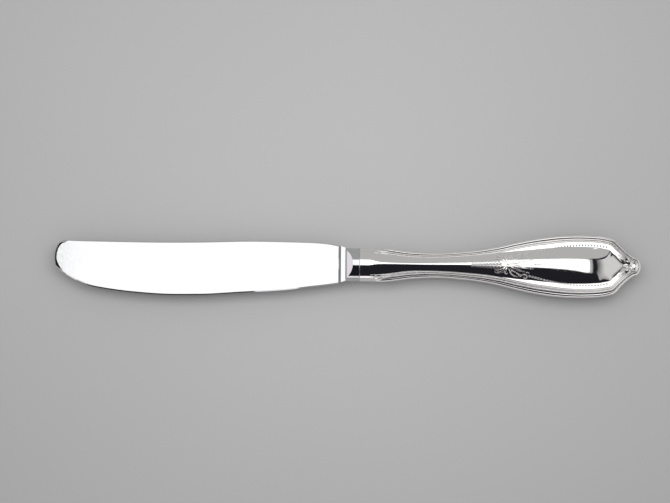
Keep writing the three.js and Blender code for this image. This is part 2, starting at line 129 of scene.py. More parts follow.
class BolsterSizes(bpy.types.PropertyGroup):
    joint_gap: size("Joint line", "Fine gap between the blade's shoulder and the bolster", 0.2)
    lip_thickness: size("Lip thickness", "Where the bolster meets the blade", 2.0)
    collar_thickness: size("Collar thickness", "Across the flat collar", 3.8)
    collar_bevel: size("Collar bevel", "Length of the bevel before the collar", 0.75)
    collar_length: size("Collar length", "Bevel and flat together", 2.08)
    groove_width: size("Groove width", "Of the falling side of the groove behind the collar", 0.1)
    groove_depth: size("Groove depth", "Of the groove behind the collar", 0.15)
    step_length: size("Step length", "Between the collar and the facet", 0.52)
    step_thickness: size("Step thickness", "At the start of the facet", 4.6)
    facet_length: size("Facet length", "Along the middle of the facet", 1.7)
    neck_width: size("Neck width", "Of the oval neck", 9.95)
    neck_thickness: size("Neck thickness", "Of the oval neck", 7.6)
    soft_edge: size("Soft edge", "Rounding that polishing leaves on the edges", 0.03)
    slot_clearance: size("Slot clearance", "Film of braze round the tang", 0.15)


class HandleSizes(bpy.types.PropertyGroup):
    swell_width: size("Swell width", "Just behind the mouth", 10.15)
    swell_thickness: size("Swell thickness", "Just behind the mouth", 8.1)
    waist_width: size("Waist width", "Narrowest part", 7.5)
    waist_thickness: size("Waist thickness", "Narrowest part", 6.9)
    shoulder_half_width: size("Shoulder", "Half width at the corner", 8.4)
    nub_half_width: size("Nub half width", "At the end of the handle", 2.75)
    nub_length: size("Nub length", "Of the rounded end", 2.1)
    nub_height: size("Nub height", "Above the middle plane", 2.3)
    thread_zone: size("Thread zone", "Width of the three threads at the bulb", 2.5)
    rail_width: size("Rail width", "Flat between the threads and the boss", 1.6)
    rail_height: size("Rail height", "Above the middle plane at the bulb", 3.1)
    waist_rail_height: size("Waist rail height", "Above the middle plane", 2.8)
    wall: size("Wall", "Thickness of the stamped shell", 0.6)


class BeadSizes(bpy.types.PropertyGroup):
    pitch: size("Pitch", "From one bead to the next", 0.9)
    width: size("Width", "Across one bead", 0.64)
    rise: size("Rise", "How far a bead stands above the rail", 0.27)
    across: share("Across the rail", "Where the row runs on the rail", 0.55)


class LeafSizes(bpy.types.PropertyGroup):
    leaf_rise: size("Leaf rise", "How far the leaves stand out", 0.28)
    stem_rise: size("Stem rise", "How far the stems, scrolls and dots stand out", 0.18)


class FinishColours(bpy.types.PropertyGroup):
    blade: colour("Blade", "Polished steel of the blade", (0.64, 0.645, 0.65))
    bolster: colour("Bolster", "Polished steel of the bolster", (0.62, 0.625, 0.63))
    handle: colour("Handle", "Bright plated handle", (0.88, 0.87, 0.86))
    groove: colour("Grooves", "Faint tarnish deep in the grooves", (0.2, 0.17, 0.18))
    solder: colour("Solder", "Dressed solder", (0.62, 0.61, 0.59))
    cement: colour("Cement", "Set cement", (0.62, 0.58, 0.52))


class StageSettings(bpy.types.PropertyGroup):
    floor: colour("Floor", "Grey paper under the knife", (0.5, 0.5, 0.5))
    backdrop: colour("Backdrop", "Grey paper behind the knife", (0.49, 0.49, 0.49))
    # Tint of a painted reflection: a glowing band of light paper that only the metal sees
    horizon: colour("Horizon", "Light paper low down on the edge's side", (1.0, 0.95, 0.98))
    # Tint of a painted reflection: glowing paper that only the metal sees, with painted shade near
    # its edge
    panel: colour("Panel", "Lit paper beyond the end of the handle", (0.69, 0.69, 0.69))
    # Tint of a painted reflection: a dark sheet that only the metal sees, standing for the unlit
    # room
    dark: colour("Dark room", "Unlit space above the knife", (0.015, 0.0145, 0.019))
    elevation: FloatProperty(
        name="Camera elevation", description="Above the floor, seen from the edge's side",
        default=math.radians(83), subtype="ANGLE", unit="ROTATION",
    )
    roll: FloatProperty(
        name="Camera roll", description="Turn of the picture about the lens",
        default=math.radians(0.43), subtype="ANGLE", unit="ROTATION",
    )
    picture_width: size("Picture width", "Width of the picture at the knife", 201.0)


# Curves

def curve_through(knots):
    """A smooth curve through knots of place and value. A knot's slope is its two sides' mean."""
    places, values = np.array(knots, float).T
    secants = np.diff(values) / np.diff(places)
    slopes = np.concatenate([secants[:1], (secants[:-1] + secants[1:]) / 2, secants[-1:]])

    def value_at(place):
        place = np.clip(place, places[0], places[-1])
        k = np.clip(np.searchsorted(places, place, side="right") - 1, 0, len(secants) - 1)
        span = places[k + 1] - places[k]
        t = (place - places[k]) / span
        rise = 3 * t**2 - 2 * t**3
        start = (t**3 - 2 * t**2 + t) * span * slopes[k]
        end = (t**3 - t**2) * span * slopes[k + 1]
        return values[k] + (values[k + 1] - values[k]) * rise + start + end

    return value_at


def line_through(knots):
    """Straight runs between knots of place and value."""
    places, values = np.array(knots, float).T
    return lambda place: np.interp(place, places, values)


def eased(knots):
    """A line through knots whose values are 0 or 1, with soft turns."""
    line = line_through(knots)
    return lambda place: line(place)**2 * (3 - 2 * line(place))


def along_handle(knots):
    """Knots whose places are shares of the handle's length, with those places in metres."""
    return [(place * HANDLE_LENGTH, value) for place, value in knots]


def between(shares, first, second):
    """Knots whose values are shares of the way from the first size to the second."""
    return [(place, first + (second - first) * value) for place, value in shares]


def spline_points(knots, steps):
    """Points on a centripetal spline through plane knots, with as many steps in each span."""
    knots = np.array(knots, float)
    ends = np.vstack([2 * knots[0] - knots[1], knots, 2 * knots[-1] - knots[-2]])
    gaps = np.linalg.norm(np.diff(ends, axis=0), axis=1) ** 0.5
    points = []
    for k in range(len(knots) - 1):
        p0, p1, p2, p3 = ends[k:k + 4]
        g0, g1, g2 = gaps[k:k + 3]
        start = ((p1 - p0) / g0 - (p2 - p0) / (g0 + g1) + (p2 - p1) / g1) * g1
        end = ((p2 - p1) / g1 - (p3 - p1) / (g1 + g2) + (p3 - p2) / g2) * g1
        for t in np.arange(steps) / steps:
            bend = (-3 * p1 + 3 * p2 - 2 * start - end) * t**2
            points.append(p1 + start * t + bend + (2 * p1 - 2 * p2 + start + end) * t**3)
    points.append(knots[-1])
    return np.array(points)


# Meshes

def new_mesh_object(name, vertices, faces):
    """A new object in the scene, from plain lists of points and faces."""
    mesh = bpy.data.meshes.new(name)
    mesh.from_pydata([tuple(v) for v in vertices], [], [tuple(f) for f in faces])
    obj = bpy.data.objects.new(name, mesh)
    bpy.context.scene.collection.objects.link(obj)
    return obj


WELD_DISTANCE = 1e-7


def close_up(obj, sharp_degrees=None):
    """Welds doubled points, turns the faces outward and shades them smooth up to an angle."""
    work = bmesh.new()
    work.from_mesh(obj.data)
    bmesh.ops.remove_doubles(work, verts=work.verts, dist=WELD_DISTANCE)
    bmesh.ops.recalc_face_normals(work, faces=work.faces)
    work.to_mesh(obj.data)
    work.free()
    obj.data.shade_smooth()
    if sharp_degrees is not None:
        obj.data.set_sharp_from_angle(angle=math.radians(sharp_degrees))
    return obj


def strip_faces(rows, columns, closed=False):
    """Four-sided faces between rows of points, each row as long as columns."""
    faces = []
    last = columns if closed else columns - 1
    for r in range(rows - 1):
        for c in range(last):
            d = (c + 1) % columns
            here, beyond = r * columns, (r + 1) * columns
            faces.append((here + c, here + d, beyond + d, beyond + c))
    return faces


def mark_grooves(obj, depths):
    """Keeps each point's depth in its groove, for the tarnish in the plate's material."""
    groove = obj.data.attributes.new("groove", "FLOAT", "POINT")
    groove.data.foreach_set("value", np.array(depths, np.float32))


def dress(obj, material, slot, *nodes):
    """Gives a finished piece its material and its body in the frame, and hides the frame's nodes
    that it stands in for.
    """
    obj.data.materials.clear()
    obj.data.materials.append(material)
    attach(obj, "root")
    if nodes:
        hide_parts(*nodes)
    return obj


# Blade outline, from the shoulder along the spine, round the tip and back along the cutting edge.
# Shares are of the blade's length from the tip, and of the spine's height or the belly's depth.

SPINE_SHARES = [
    (0.971, 0.89), (0.93, 0.944), (0.865, 0.972), (0.69, 1), (0.514, 0.946),
    (0.36, 0.93), (0.198, 0.952), (0.092, 0.972), (0.057, 0.988), (0.043, 0.991),
]
TIP_SPINE_SHARES = [
    (0.0292, 0.972), (0.0205, 0.908), (0.0132, 0.81), (0.0058, 0.643), (0.0014, 0.467), (0, 0.29),
]
TIP_EDGE_SHARES = [(0.0012, 0.083), (0.0055, -0.045), (0.0145, -0.159), (0.0246, -0.24)]
EDGE_SHARES = [
    (0.0337, -0.302), (0.0485, -0.392), (0.0655, -0.482), (0.0924, -0.605), (0.1275, -0.721),
    (0.163, -0.79), (0.233, -0.883), (0.303, -0.946), (0.39, -0.995), (0.461, -1), (0.549, -0.98),
    (0.655, -0.915), (0.76, -0.857), (0.83, -0.805), (0.9, -0.72), (0.953, -0.663),
]
# Numbers of the knots where the tip starts and ends, counted from the shoulder along the spine
TIP_START = len(SPINE_SHARES)
TIP_END = TIP_START + len(TIP_SPINE_SHARES) + len(TIP_EDGE_SHARES)
BLADE_STEPS = 8
RIM_COLUMNS = 8
SUPPORT_RING = 0.03 * MM
BLADE_SHARP_DEGREES = 24
TANG_SIDES = 6


def blade_outline(sizes):
    def places(shares, height):
        return [(SHOULDER_X - BLADE_LENGTH * (1 - x), height * y) for x, y in shares]

    return spline_points([
        (SHOULDER_X, sizes.root_spine_height),
        *places(SPINE_SHARES, SPINE_HEIGHT),
        *places(TIP_SPINE_SHARES, SPINE_HEIGHT),
        *places(TIP_EDGE_SHARES, BELLY_DEPTH),
        *places(EDGE_SHARES, BELLY_DEPTH),
        (SHOULDER_X, -sizes.root_edge_depth),
    ], BLADE_STEPS)


def blade_half_thickness(sizes, x, y):
    """The flats are planes, thinner towards the cutting edge and the tip."""
    root_depth = sizes.root_spine_height + sizes.root_edge_depth
    grind = (sizes.root_spine_thickness - sizes.root_edge_thickness) / 2 / root_depth
    taper = (sizes.root_spine_thickness - sizes.tip_spine_thickness) / 2 / BLADE_LENGTH
    ground_away = grind * (sizes.root_spine_height - y) + taper * (SHOULDER_X - x)
    return sizes.root_spine_thickness / 2 - ground_away


# How much of the rim's shape comes from the tip's and from the cutting edge's, by number of knot
TIP_RIM_AT = eased([
    (0, 0), (TIP_START - 0.5, 0), (TIP_START + 0.7, 1), (TIP_END - 2, 1), (TIP_END + 1.5, 0),
])
EDGE_RIM_AT = eased([(0, 0), (TIP_END - 2, 0), (TIP_END + 1.5, 1)])
SPINE_ROUND_LIMIT = 0.8

# The rim of the tip leaves the flat at the first slope and reaches the second where it turns down.
# The turn takes the last of its points and of its width, and ends at a share of the half thickness.
TIP_SLOPES = (0.13, 0.26)
TIP_TURN_FROM = 0.6
TIP_ROUND_SHARE = 0.16
TIP_SIDE_SHARE = 0.35


def rim_profile(sizes, place, face_z):
    """Inset and height of the rim, from the flat out to the outline."""
    turn = np.linspace(0, 1, RIM_COLUMNS)
    radius = min(sizes.spine_round, SPINE_ROUND_LIMIT * face_z)
    angle = turn * math.pi / 2
    spine = np.array([radius * (1 - np.sin(angle)), face_z - radius * (1 - np.cos(angle))])

    first_slope, last_slope = TIP_SLOPES
    gentle = np.minimum(turn / TIP_TURN_FROM, 1) * (1 - TIP_ROUND_SHARE)
    drop = sizes.tip_rim * (first_slope * gentle + (last_slope - first_slope) / 2 * gentle**2)
    bend = np.clip((turn - TIP_TURN_FROM) / (1 - TIP_TURN_FROM), 0, 1) * math.pi / 2
    side_z = TIP_SIDE_SHARE * face_z
    inset = sizes.tip_rim * (1 - gentle - TIP_ROUND_SHARE * np.sin(bend))
    tip = np.array([inset, face_z - drop - (face_z - drop - side_z) * (1 - np.cos(bend))])

    bevel_z = face_z + (sizes.edge_thickness / 2 - face_z) * turn
    edge = np.array([sizes.edge_bevel * (1 - turn), bevel_z])

    tip_share, edge_share = TIP_RIM_AT(place), EDGE_RIM_AT(place)
    return spine * (1 - tip_share - edge_share) + tip * tip_share + edge * edge_share


def blade_rows(sizes):
    """For each outline point, a row of points over the rim from the front flat to the back."""
    outline = blade_outline(sizes)
    tangents = np.gradient(outline, axis=0)
    rows = []
    for k, (point, tangent) in enumerate(zip(outline, tangents)):
        inward = np.array([-tangent[1], tangent[0]]) / np.linalg.norm(tangent)
        if k in (0, len(outline) - 1):
            inward = np.array([0, -np.sign(point[1])])
        guess = point + inward * sizes.edge_bevel
        face_z = blade_half_thickness(sizes, *guess)
        inset, height = rim_profile(sizes, k / BLADE_STEPS, face_z)
        start = point + inward * inset[0]
        height = height + blade_half_thickness(sizes, *start) - face_z
        flat = point + inward * (inset[0] + SUPPORT_RING)
        front = [(*flat, blade_half_thickness(sizes, *flat))]
        front += [(*(point + inward * i), z) for i, z in zip(inset, height)]
        back = [(x, y, -z) for x, y, z in reversed(front)]
        rows.append(front + [(*point, 0)] + back)
    return rows


def build_blade_mesh(sizes):
    """The blade, closed at the shoulder round its tang."""
    rows = blade_rows(sizes)
    columns = len(rows[0])
    vertices = [point for row in rows for point in row]
    faces = strip_faces(len(rows), columns)
    faces.append([r * columns for r in range(len(rows))])
    faces.append([r * columns + columns - 1 for r in reversed(range(len(rows)))])

    taper_x = TANG_END_X - sizes.tang_taper
    tang = len(vertices)
    places = (
        (SHOULDER_X, sizes.tang_width), (taper_x, sizes.tang_width),
        (TANG_END_X, sizes.tang_tip_width),
    )
    for x, width in places:
        w, t = width / 2, sizes.tang_thickness / 2
        vertices += [(x, w, 0), (x, w, t), (x, -w, t), (x, -w, 0), (x, -w, -t), (x, w, -t)]
    tang_faces = strip_faces(len(places), TANG_SIDES, closed=True)
    faces += [[tang + i for i in face] for face in tang_faces]
    faces.append(range(len(vertices) - TANG_SIDES, len(vertices)))

    middle = columns // 2
    heel = (len(rows) - 1) * columns
    faces.append([
        *range(middle, -1, -1), *range(heel, heel + middle + 1),
        tang + 3, tang + 2, tang + 1, tang,
    ])
    faces.append([
        *range(middle, columns), *range(heel + columns - 1, heel + middle - 1, -1),
        tang + 3, tang + 4, tang + 5, tang,
    ])
    vertices = [(x, y + MIDDLE_Y, z + MIDDLE_Z) for x, y, z in vertices]
    return close_up(new_mesh_object("polished_blade", vertices, faces), BLADE_SHARP_DEGREES)


# Bolster

def prism(outline, low, high, axis):
    """Points and faces of a prism: a plane outline drawn out along Z or along Y."""
    def place(a, b, depth):
        return (a, b, depth) if axis == "Z" else (a, depth, b)

    count = len(outline)
    vertices = [place(a, b, d) for d in (low, high) for a, b in outline]
    faces = [range(count), range(count, 2 * count)]
    faces += [(k, (k + 1) % count, count + (k + 1) % count, count + k) for k in range(count)]
    return vertices, faces


def scratch_object(name, vertices, faces):
    """A helper solid in millimetres, the scale at which cuts come out clean."""
    return close_up(new_mesh_object(name, [Vector(v) / MM for v in vertices], faces))


def cut(obj, other, operation):
    """Joins or cuts obj with other, which is then removed."""
    step = obj.modifiers.new(operation.title(), "BOOLEAN")
    step.operation = operation
    step.solver = "EXACT"
    step.object = other
    bpy.context.view_layer.update()
    worked = obj.evaluated_get(bpy.context.evaluated_depsgraph_get())
    worked_mesh = bpy.data.meshes.new_from_object(worked)
    obj.modifiers.clear()
    obj.data = worked_mesh
    bpy.data.objects.remove(other)
    return obj


NECK_POINTS = 144
BOLSTER_SOFT_SEGMENTS = 2
BOLSTER_SOFT_DEGREES = 18


def build_bolster_mesh(sizes):
    """The flat collar and the oval neck, shaped from the side and slotted for the tang."""
    neck_end_x = BOLSTER_HIGH.x
    collar_x = SHOULDER_X + sizes.collar_length
    step_x = collar_x + sizes.step_length
    neck_x = step_x + sizes.facet_length
    root = bpy.context.scene.knife_blade
    plate = [
        (SHOULDER_X, -root.root_edge_depth), (collar_x, -sizes.neck_width / 2),
        (collar_x, sizes.neck_width / 2), (SHOULDER_X, root.root_spine_height),
    ]
    half_collar = sizes.collar_thickness / 2
    body = scratch_object("collar", *prism(plate, -half_collar, half_collar, "Z"))
    angles = np.arange(NECK_POINTS) / NECK_POINTS * 2 * math.pi
    half_neck = sizes.neck_thickness / 2
    oval = [(sizes.neck_width / 2 * math.cos(a), half_neck * math.sin(a)) for a in angles]
    neck_vertices, neck_faces = prism(oval, SHOULDER_X + sizes.collar_bevel, neck_end_x, "Z")
    neck_vertices = [(x, y, z) for y, z, x in neck_vertices]
    body = cut(body, scratch_object("neck", neck_vertices, neck_faces), "UNION")

    past = sizes.neck_thickness
    upper = [
        (SHOULDER_X + sizes.joint_gap, sizes.lip_thickness / 2),
        (SHOULDER_X + sizes.collar_bevel, half_collar),
        (collar_x, half_collar),
        (collar_x + sizes.groove_width, half_collar - sizes.groove_depth),
        (step_x, sizes.step_thickness / 2),
        (neck_x, half_neck), (neck_x, past), (neck_end_x + past, past),
    ]
    side = upper + [(x, -z) for x, z in reversed(upper)]
    body = cut(body, scratch_object("side", *prism(side, -past, past, "Y")), "INTERSECT")

    half_width = root.tang_width / 2 + sizes.slot_clearance
    half_height = root.tang_thickness / 2 + sizes.slot_clearance
    from_x, to_x = SHOULDER_X - past, neck_end_x + past
    slot = [
        (from_x, -half_height), (to_x, -half_height), (to_x, half_height), (from_x, half_height),
    ]
    slot_solid = scratch_object("slot", *prism(slot, -half_width, half_width, "Y"))
    body = cut(body, slot_solid, "DIFFERENCE")

    body.name = "polished_bolster"
    place = Matrix.Translation((0, MIDDLE_Y, MIDDLE_Z)) @ Matrix.Scale(MM, 4)
    body.data.transform(place)
    close_up(body)
    soften = body.modifiers.new("Polished edges", "BEVEL")
    soften.width = sizes.soft_edge
    soften.segments = BOLSTER_SOFT_SEGMENTS
    soften.limit_method = "ANGLE"
    soften.angle_limit = math.radians(BOLSTER_SOFT_DEGREES)
    soften.harden_normals = True
    return body


# Handle: places are shares of its length from the mouth. Values are shares of the way between two
# named sizes, or factors of one.

SWELL_SHARE = 0.091
WAIST_SHARE = 0.284
BULB_SHARE = 0.77
SHOULDER_SHARE = 0.905
FLARE_SHARES = [
    (0.345, 0.055), (0.415, 0.16), (0.486, 0.345), (0.557, 0.595), (0.628, 0.81), (0.7, 0.95),
    (BULB_SHARE, 1),
]
BULB_FALL_SHARES = [(0.8315, 0.12), (0.855, 0.27), (0.88, 0.58), (SHOULDER_SHARE, 1)]
FLANK_SHARES = [(0, 0), (0.2, 0.25), (0.42, 0.5), (0.64, 0.72), (0.84, 0.89), (1, 1)]
CROWN_RISE_SHARES = [(0.53, 0.46), (0.62, 0.72), (0.7, 0.9), (BULB_SHARE, 1)]
CROWN_FALL_SHARES = [
    (0.8, 0.008), (0.821, 0.034), (0.852, 0.165), (0.889, 0.48), (0.92, 0.83), (0.945, 0.98),
    (0.97, 1), (1, 1),
]
RAIL_RISE_SHARES = [(0, 0), (WAIST_SHARE, 0), (0.53, 0.6), (BULB_SHARE, 1), (SHOULDER_SHARE, 1)]
RAIL_FALL_SHARES = [(0.935, 0.05), (0.955, 0.16), (0.97, 0.42), (0.985, 0.85), (1, 1)]
THREAD_SCALE_SHARES = [
    (0, 0.9), (0.16, 0.87), (WAIST_SHARE, 0.69), (0.4, 0.74), (0.5, 0.9), (0.6, 1), (0.665, 1.08),
    (BULB_SHARE, 1), (SHOULDER_SHARE, 1), (0.95, 0.78), (1, 0.7),
]
RAIL_SCALE_SHARES = [
    (0, 0), (0.5, 0), (0.61, 0.68), (0.665, 0.75), (BULB_SHARE, 1), (0.9, 1), (0.935, 0.72),
    (0.965, 0.5), (1, 0.2),
]
BORDER_SCALE_SHARES = [(0, 0), (0.03, 0), (0.115, 1), (1, 1)]
REED_CROWN_SHARES = [(0, 1), (SHOULDER_SHARE, 1), (0.93, 0.5), (1, 0.45)]

# Section lines run square to the axis on the waist. From here on they lean back from the outline,
# more and more, and these are the places where those of the corner, nub and end meet the axis.
FAN_START_SHARE = 0.7
FAN_SHOULDER_SHARE = 0.857
FAN_NUB_SHARE = 0.955
FAN_END_SHARE = 0.975

BODY_STATIONS = 250
FLANK_STATIONS = 56
NUB_STATIONS = 24

# The corner at the end of the bulb: how many stations it is rounded over, and how often
CORNER_REACH = 12
CORNER_PASSES = 24

# The three threads are reeds with low crowns. For each one: its crest, then how far it runs out
# and drops towards the side of the handle, then how far it runs in and drops towards the boss,
# then the floor of the groove behind it. All are shares of the thread zone and the rail's height.
REEDS = [
    ((0.33, 0.46), (0.33, 0.33), (0.055, 0.04), (0.44, 0.31)),
    ((0.6, 0.7), (0.105, 0.1), (0.105, 0.055), (0.735, 0.57)),
    ((0.86, 0.9), (0.095, 0.09), (0.085, 0.05), (0.97, 0.76)),
]
REED_HALF_POINTS = 8
GROOVE_HALF_WIDTH_SHARE = 0.026
SIDE_POINTS = 4

# The rail is flat at first and lifts a little towards the boss, up to the fall of the bulb
RAIL_START_SHARE = 0.02
RAIL_POINTS = 9
RAIL_FLAT_SHARE = 0.4
RAIL_LIFT_SHARE = 0.04
RAIL_LIFT_RANGE = ((0.84, 0.875), (1, 0))

# The boss is fuller the higher the power of its rise
BOSS_POINTS = 40
BOSS_FULLNESS_SHARES = [
    (0, 1.6), (0.37, 1.6), (0.48, 1.9), (0.6, 2.3), (0.86, 2.3), (0.925, 2), (1, 2),
]
BOSS_POINT_BIAS = 1.9

# Tarnish: how dark the three grooves are, then for the reeds, the rail and the boss how dark they
# are beside a groove and the power with which that fades
GROOVE_TARNISH = (1, 0.65, 0.6)
REED_TARNISH, REED_TARNISH_FADE = 1, 4
RAIL_TARNISH, RAIL_TARNISH_FADE = 0.6, 2
BOSS_TARNISH, BOSS_TARNISH_FADE = 0.8, 6

# The hollow, one wall inside
HOLLOW_SIDE_SHARE = 0.2
HOLLOW_STEP_SHARES = (0.5, 0.42)
HOLLOW_RAIL_SHARES = (1.06, 0.92)
HOLLOW_BOSS_SHARES = (0.14, 0.3, 0.5, 0.7, 0.85, 1)
HOLLOW_POINTS = 4 + len(HOLLOW_BOSS_SHARES)
HOLLOW_END_SHARE = 0.4

SHELL_SHARP_DEGREES = 80


class HandleForm:
    """The handle's outline and its sections, as places along it, across it and above its middle."""

    def __init__(self, sizes):
        self.sizes = sizes
        neck = bpy.context.scene.knife_bolster
        neck_half = neck.neck_width / 2
        swell, waist, bulb = sizes.swell_width / 2, sizes.waist_width / 2, BULB_HALF_WIDTH
        self.half_width_at = curve_through(along_handle([
            (0, neck_half),
            (SWELL_SHARE / 2, (neck_half + swell) / 2),
            (SWELL_SHARE, swell),
            ((SWELL_SHARE + WAIST_SHARE) / 2, (swell + 3 * waist) / 4),
            (WAIST_SHARE, waist),
            *between(FLARE_SHARES, waist, bulb),
            *between(BULB_FALL_SHARES, bulb, sizes.shoulder_half_width),
        ]))
        self.crown_at = curve_through(along_handle([
            (0, neck.neck_thickness / 2),
            (SWELL_SHARE, sizes.swell_thickness / 2),
            (WAIST_SHARE, sizes.waist_thickness / 2),
            *between(CROWN_RISE_SHARES, sizes.waist_thickness / 2, BULB_CROWN),
            *between(CROWN_FALL_SHARES, BULB_CROWN, sizes.nub_height),
        ]))
        self.rail_height_at = curve_through(along_handle([
            *between(RAIL_RISE_SHARES, sizes.waist_rail_height, sizes.rail_height),
            *between(RAIL_FALL_SHARES, sizes.rail_height, sizes.nub_height),
        ]))
        self.thread_scale_at = line_through(along_handle(THREAD_SCALE_SHARES))
        self.rail_scale_at = line_through(along_handle(RAIL_SCALE_SHARES))
        self.border_scale_at = eased(along_handle(BORDER_SCALE_SHARES))
        self.fullness_at = line_through(along_handle(BOSS_FULLNESS_SHARES))
        self.reed_crown_at = line_through(along_handle(REED_CROWN_SHARES))
        self.set_lines()

    def set_lines(self):
        """Section lines run inward from the outline to the axis."""
        sizes = self.sizes
        start, shoulder = RING_HIGH.x - MOUTH_X, SHOULDER_SHARE * HANDLE_LENGTH
        body_s = np.linspace(start, shoulder, BODY_STATIONS)
        fan_start = FAN_START_SHARE * HANDLE_LENGTH
        fan_shoulder = FAN_SHOULDER_SHARE * HANDLE_LENGTH
        lean = (fan_shoulder - fan_start) / (shoulder - fan_start)
        fanned = fan_start + (body_s - fan_start) * lean

        nub_start = HANDLE_LENGTH - sizes.nub_length
        flank = np.arange(1, FLANK_STATIONS + 1) / FLANK_STATIONS
        flank_s = shoulder + (nub_start - shoulder) * flank
        flank_drop = curve_through(FLANK_SHARES)(flank)
        narrowing = sizes.nub_half_width - sizes.shoulder_half_width
        flank_y = sizes.shoulder_half_width + narrowing * flank_drop
        flank_target = FAN_SHOULDER_SHARE + (FAN_NUB_SHARE - FAN_SHOULDER_SHARE) * flank

        nub = np.arange(1, NUB_STATIONS + 1) / NUB_STATIONS
        nub_s = nub_start + sizes.nub_length * np.sin(nub * math.pi / 2)
        nub_y = sizes.nub_half_width * np.cos(nub * math.pi / 2)
        nub_y[-1] = 0
        nub_target = FAN_NUB_SHARE + (FAN_END_SHARE - FAN_NUB_SHARE) * nub

        self.s = np.concatenate([body_s, flank_s, nub_s])
        self.y = np.concatenate([self.half_width_at(body_s), flank_y, nub_y])
        self.target = np.concatenate([
            np.minimum(body_s, fanned), flank_target * HANDLE_LENGTH, nub_target * HANDLE_LENGTH,
        ])
        self.round_corner(BODY_STATIONS - 1)
        self.hollow_end = BODY_STATIONS - 1 + round(FLANK_STATIONS * HOLLOW_END_SHARE)

        inward = np.array([self.target - self.s, -self.y])
        self.length = np.hypot(*inward)
        self.inward = inward / self.length
        step_s = np.diff(np.append(self.s, self.s[-2]))
        step_y = np.diff(np.append(self.y, -self.y[-2]))
        normals = np.array([step_y, -step_s]) / np.hypot(step_s, step_y)
        square = (normals * self.inward).sum(0)
        square_before = (normals[:, :-1] * self.inward[:, 1:]).sum(0)
        square[1:] = (square[1:] + square_before) / 2
        self.stretch = 1 / square
        self.threads = sizes.thread_zone * self.thread_scale_at(self.s) * self.stretch
        self.rail = sizes.rail_width * self.rail_scale_at(self.s) * self.stretch
        self.boss_start = self.threads + self.rail
        self.boss = self.length - self.boss_start
        self.rail_z = self.rail_height_at(self.s)
        lift_share = np.interp(self.s / HANDLE_LENGTH, *RAIL_LIFT_RANGE)
        self.rail_lift = RAIL_LIFT_SHARE * lift_share * self.rail / self.stretch
        self.crown = np.maximum(self.crown_at(self.target), self.rail_z)
        self.border = self.border_scale_at(self.s)

    def round_corner(self, corner):
        """Die-struck corners are never dead sharp."""
        near = slice(corner - CORNER_REACH, corner + CORNER_REACH)
        for _ in range(CORNER_PASSES):
            for line in (self.s, self.y, self.target):
                soft = (line[:-2] + 2 * line[1:-1] + line[2:]) / 4
                line[1:-1][near] = soft[near]

    def blended(self, distance, height, inset):
        """The section is a plain oval at the mouth and turns into the bordered one on the swell."""
        angle = np.linspace(0, math.pi / 2, distance.shape[1])
        oval_distance = inset + (self.length - inset)[:, None] * (1 - np.cos(angle))
        oval_height = (self.crown - inset)[:, None] * np.sin(angle)
        border = self.border[:, None]
        return (
            oval_distance + (distance - oval_distance) * border,
            oval_height + (height - oval_height) * border,
        )

    def boss_height(self, distance, shares, sink=0):
        """The boss rises from the rail to the crown that the handle has at that place."""
        rise = 1 - (1 - shares) ** self.fullness_at(self.s)[:, None]
        rail_z = (self.rail_z + self.rail_lift)[:, None]
        crown = self.crown_at(self.s[:, None] + self.inward[0][:, None] * distance)
        return rail_z + (crown - rail_z) * rise - sink

    def outer_section(self):
        """Distance along each section line and height there, from the seam to the crown."""
        threads, rail_z = self.threads[:, None], self.rail_z[:, None]
        lines = len(self.s)
        side = np.linspace(0, REEDS[0][0][1] - REEDS[0][1][1], SIDE_POINTS, endpoint=False)
        distance = [np.zeros((lines, SIDE_POINTS))]
        height = [rail_z * side]
        rising = np.linspace(math.pi / 2, 0, REED_HALF_POINTS)
        falling = rising[-2::-1]
        inner_scale = self.reed_crown_at(self.s)[:, None]
        outer_scale = np.ones((lines, 1))
        for (crest, crest_z), (out, out_drop), (into, into_drop), (floor, floor_z) in REEDS:
            distance.append(threads * np.concatenate([
                crest - out * np.sin(rising), crest + into * np.sin(falling),
                [floor - GROOVE_HALF_WIDTH_SHARE, floor + GROOVE_HALF_WIDTH_SHARE],
            ]))
            height.append(rail_z * np.hstack([
                crest_z - outer_scale * out_drop * (1 - np.cos(rising)),
                crest_z - inner_scale * into_drop * (1 - np.cos(falling)),
                np.full((lines, 2), floor_z),
            ]))
            outer_scale = inner_scale
        rail = np.linspace(RAIL_START_SHARE, 1, RAIL_POINTS)
        lifted = np.maximum(0, (rail - RAIL_FLAT_SHARE) / (1 - RAIL_FLAT_SHARE)) ** 2
        distance.append(threads + self.rail[:, None] * rail)
        height.append(rail_z + self.rail_lift[:, None] * lifted)
        boss = (np.arange(1, BOSS_POINTS + 1) / BOSS_POINTS) ** BOSS_POINT_BIAS
        distance.append(self.boss_start[:, None] + self.boss[:, None] * boss)
        height.append(self.boss_height(distance[-1], boss))
        return self.blended(np.hstack(distance), np.hstack(height), 0)

    def inner_section(self):
        """The same for the hollow, with far fewer points."""
        threads, rail_z = self.threads[:, None], self.rail_z[:, None]
        wall = self.sizes.wall
        side = wall * self.stretch[:, None]
        step, step_z = HOLLOW_STEP_SHARES
        rail, rail_share = HOLLOW_RAIL_SHARES
        boss = np.array(HOLLOW_BOSS_SHARES)
        boss_distance = self.boss_start[:, None] + self.boss[:, None] * boss
        distance = np.hstack([side, side, threads * step, threads * rail, boss_distance])
        height = np.hstack([
            np.zeros_like(rail_z), rail_z * HOLLOW_SIDE_SHARE, rail_z * step_z - wall,
            rail_z * rail_share - wall, self.boss_height(boss_distance, boss, wall),
        ])
        return self.blended(distance, height, wall)

    def place(self, distance, height, side):
        """World points for distances along the section lines on the +Y or the -Y side."""
        x = MOUTH_X + self.s[:, None] + self.inward[0][:, None] * distance
        y = self.y[:, None] + self.inward[1][:, None] * distance
        return np.stack([x, MIDDLE_Y + side * y, MIDDLE_Z + height], axis=-1)

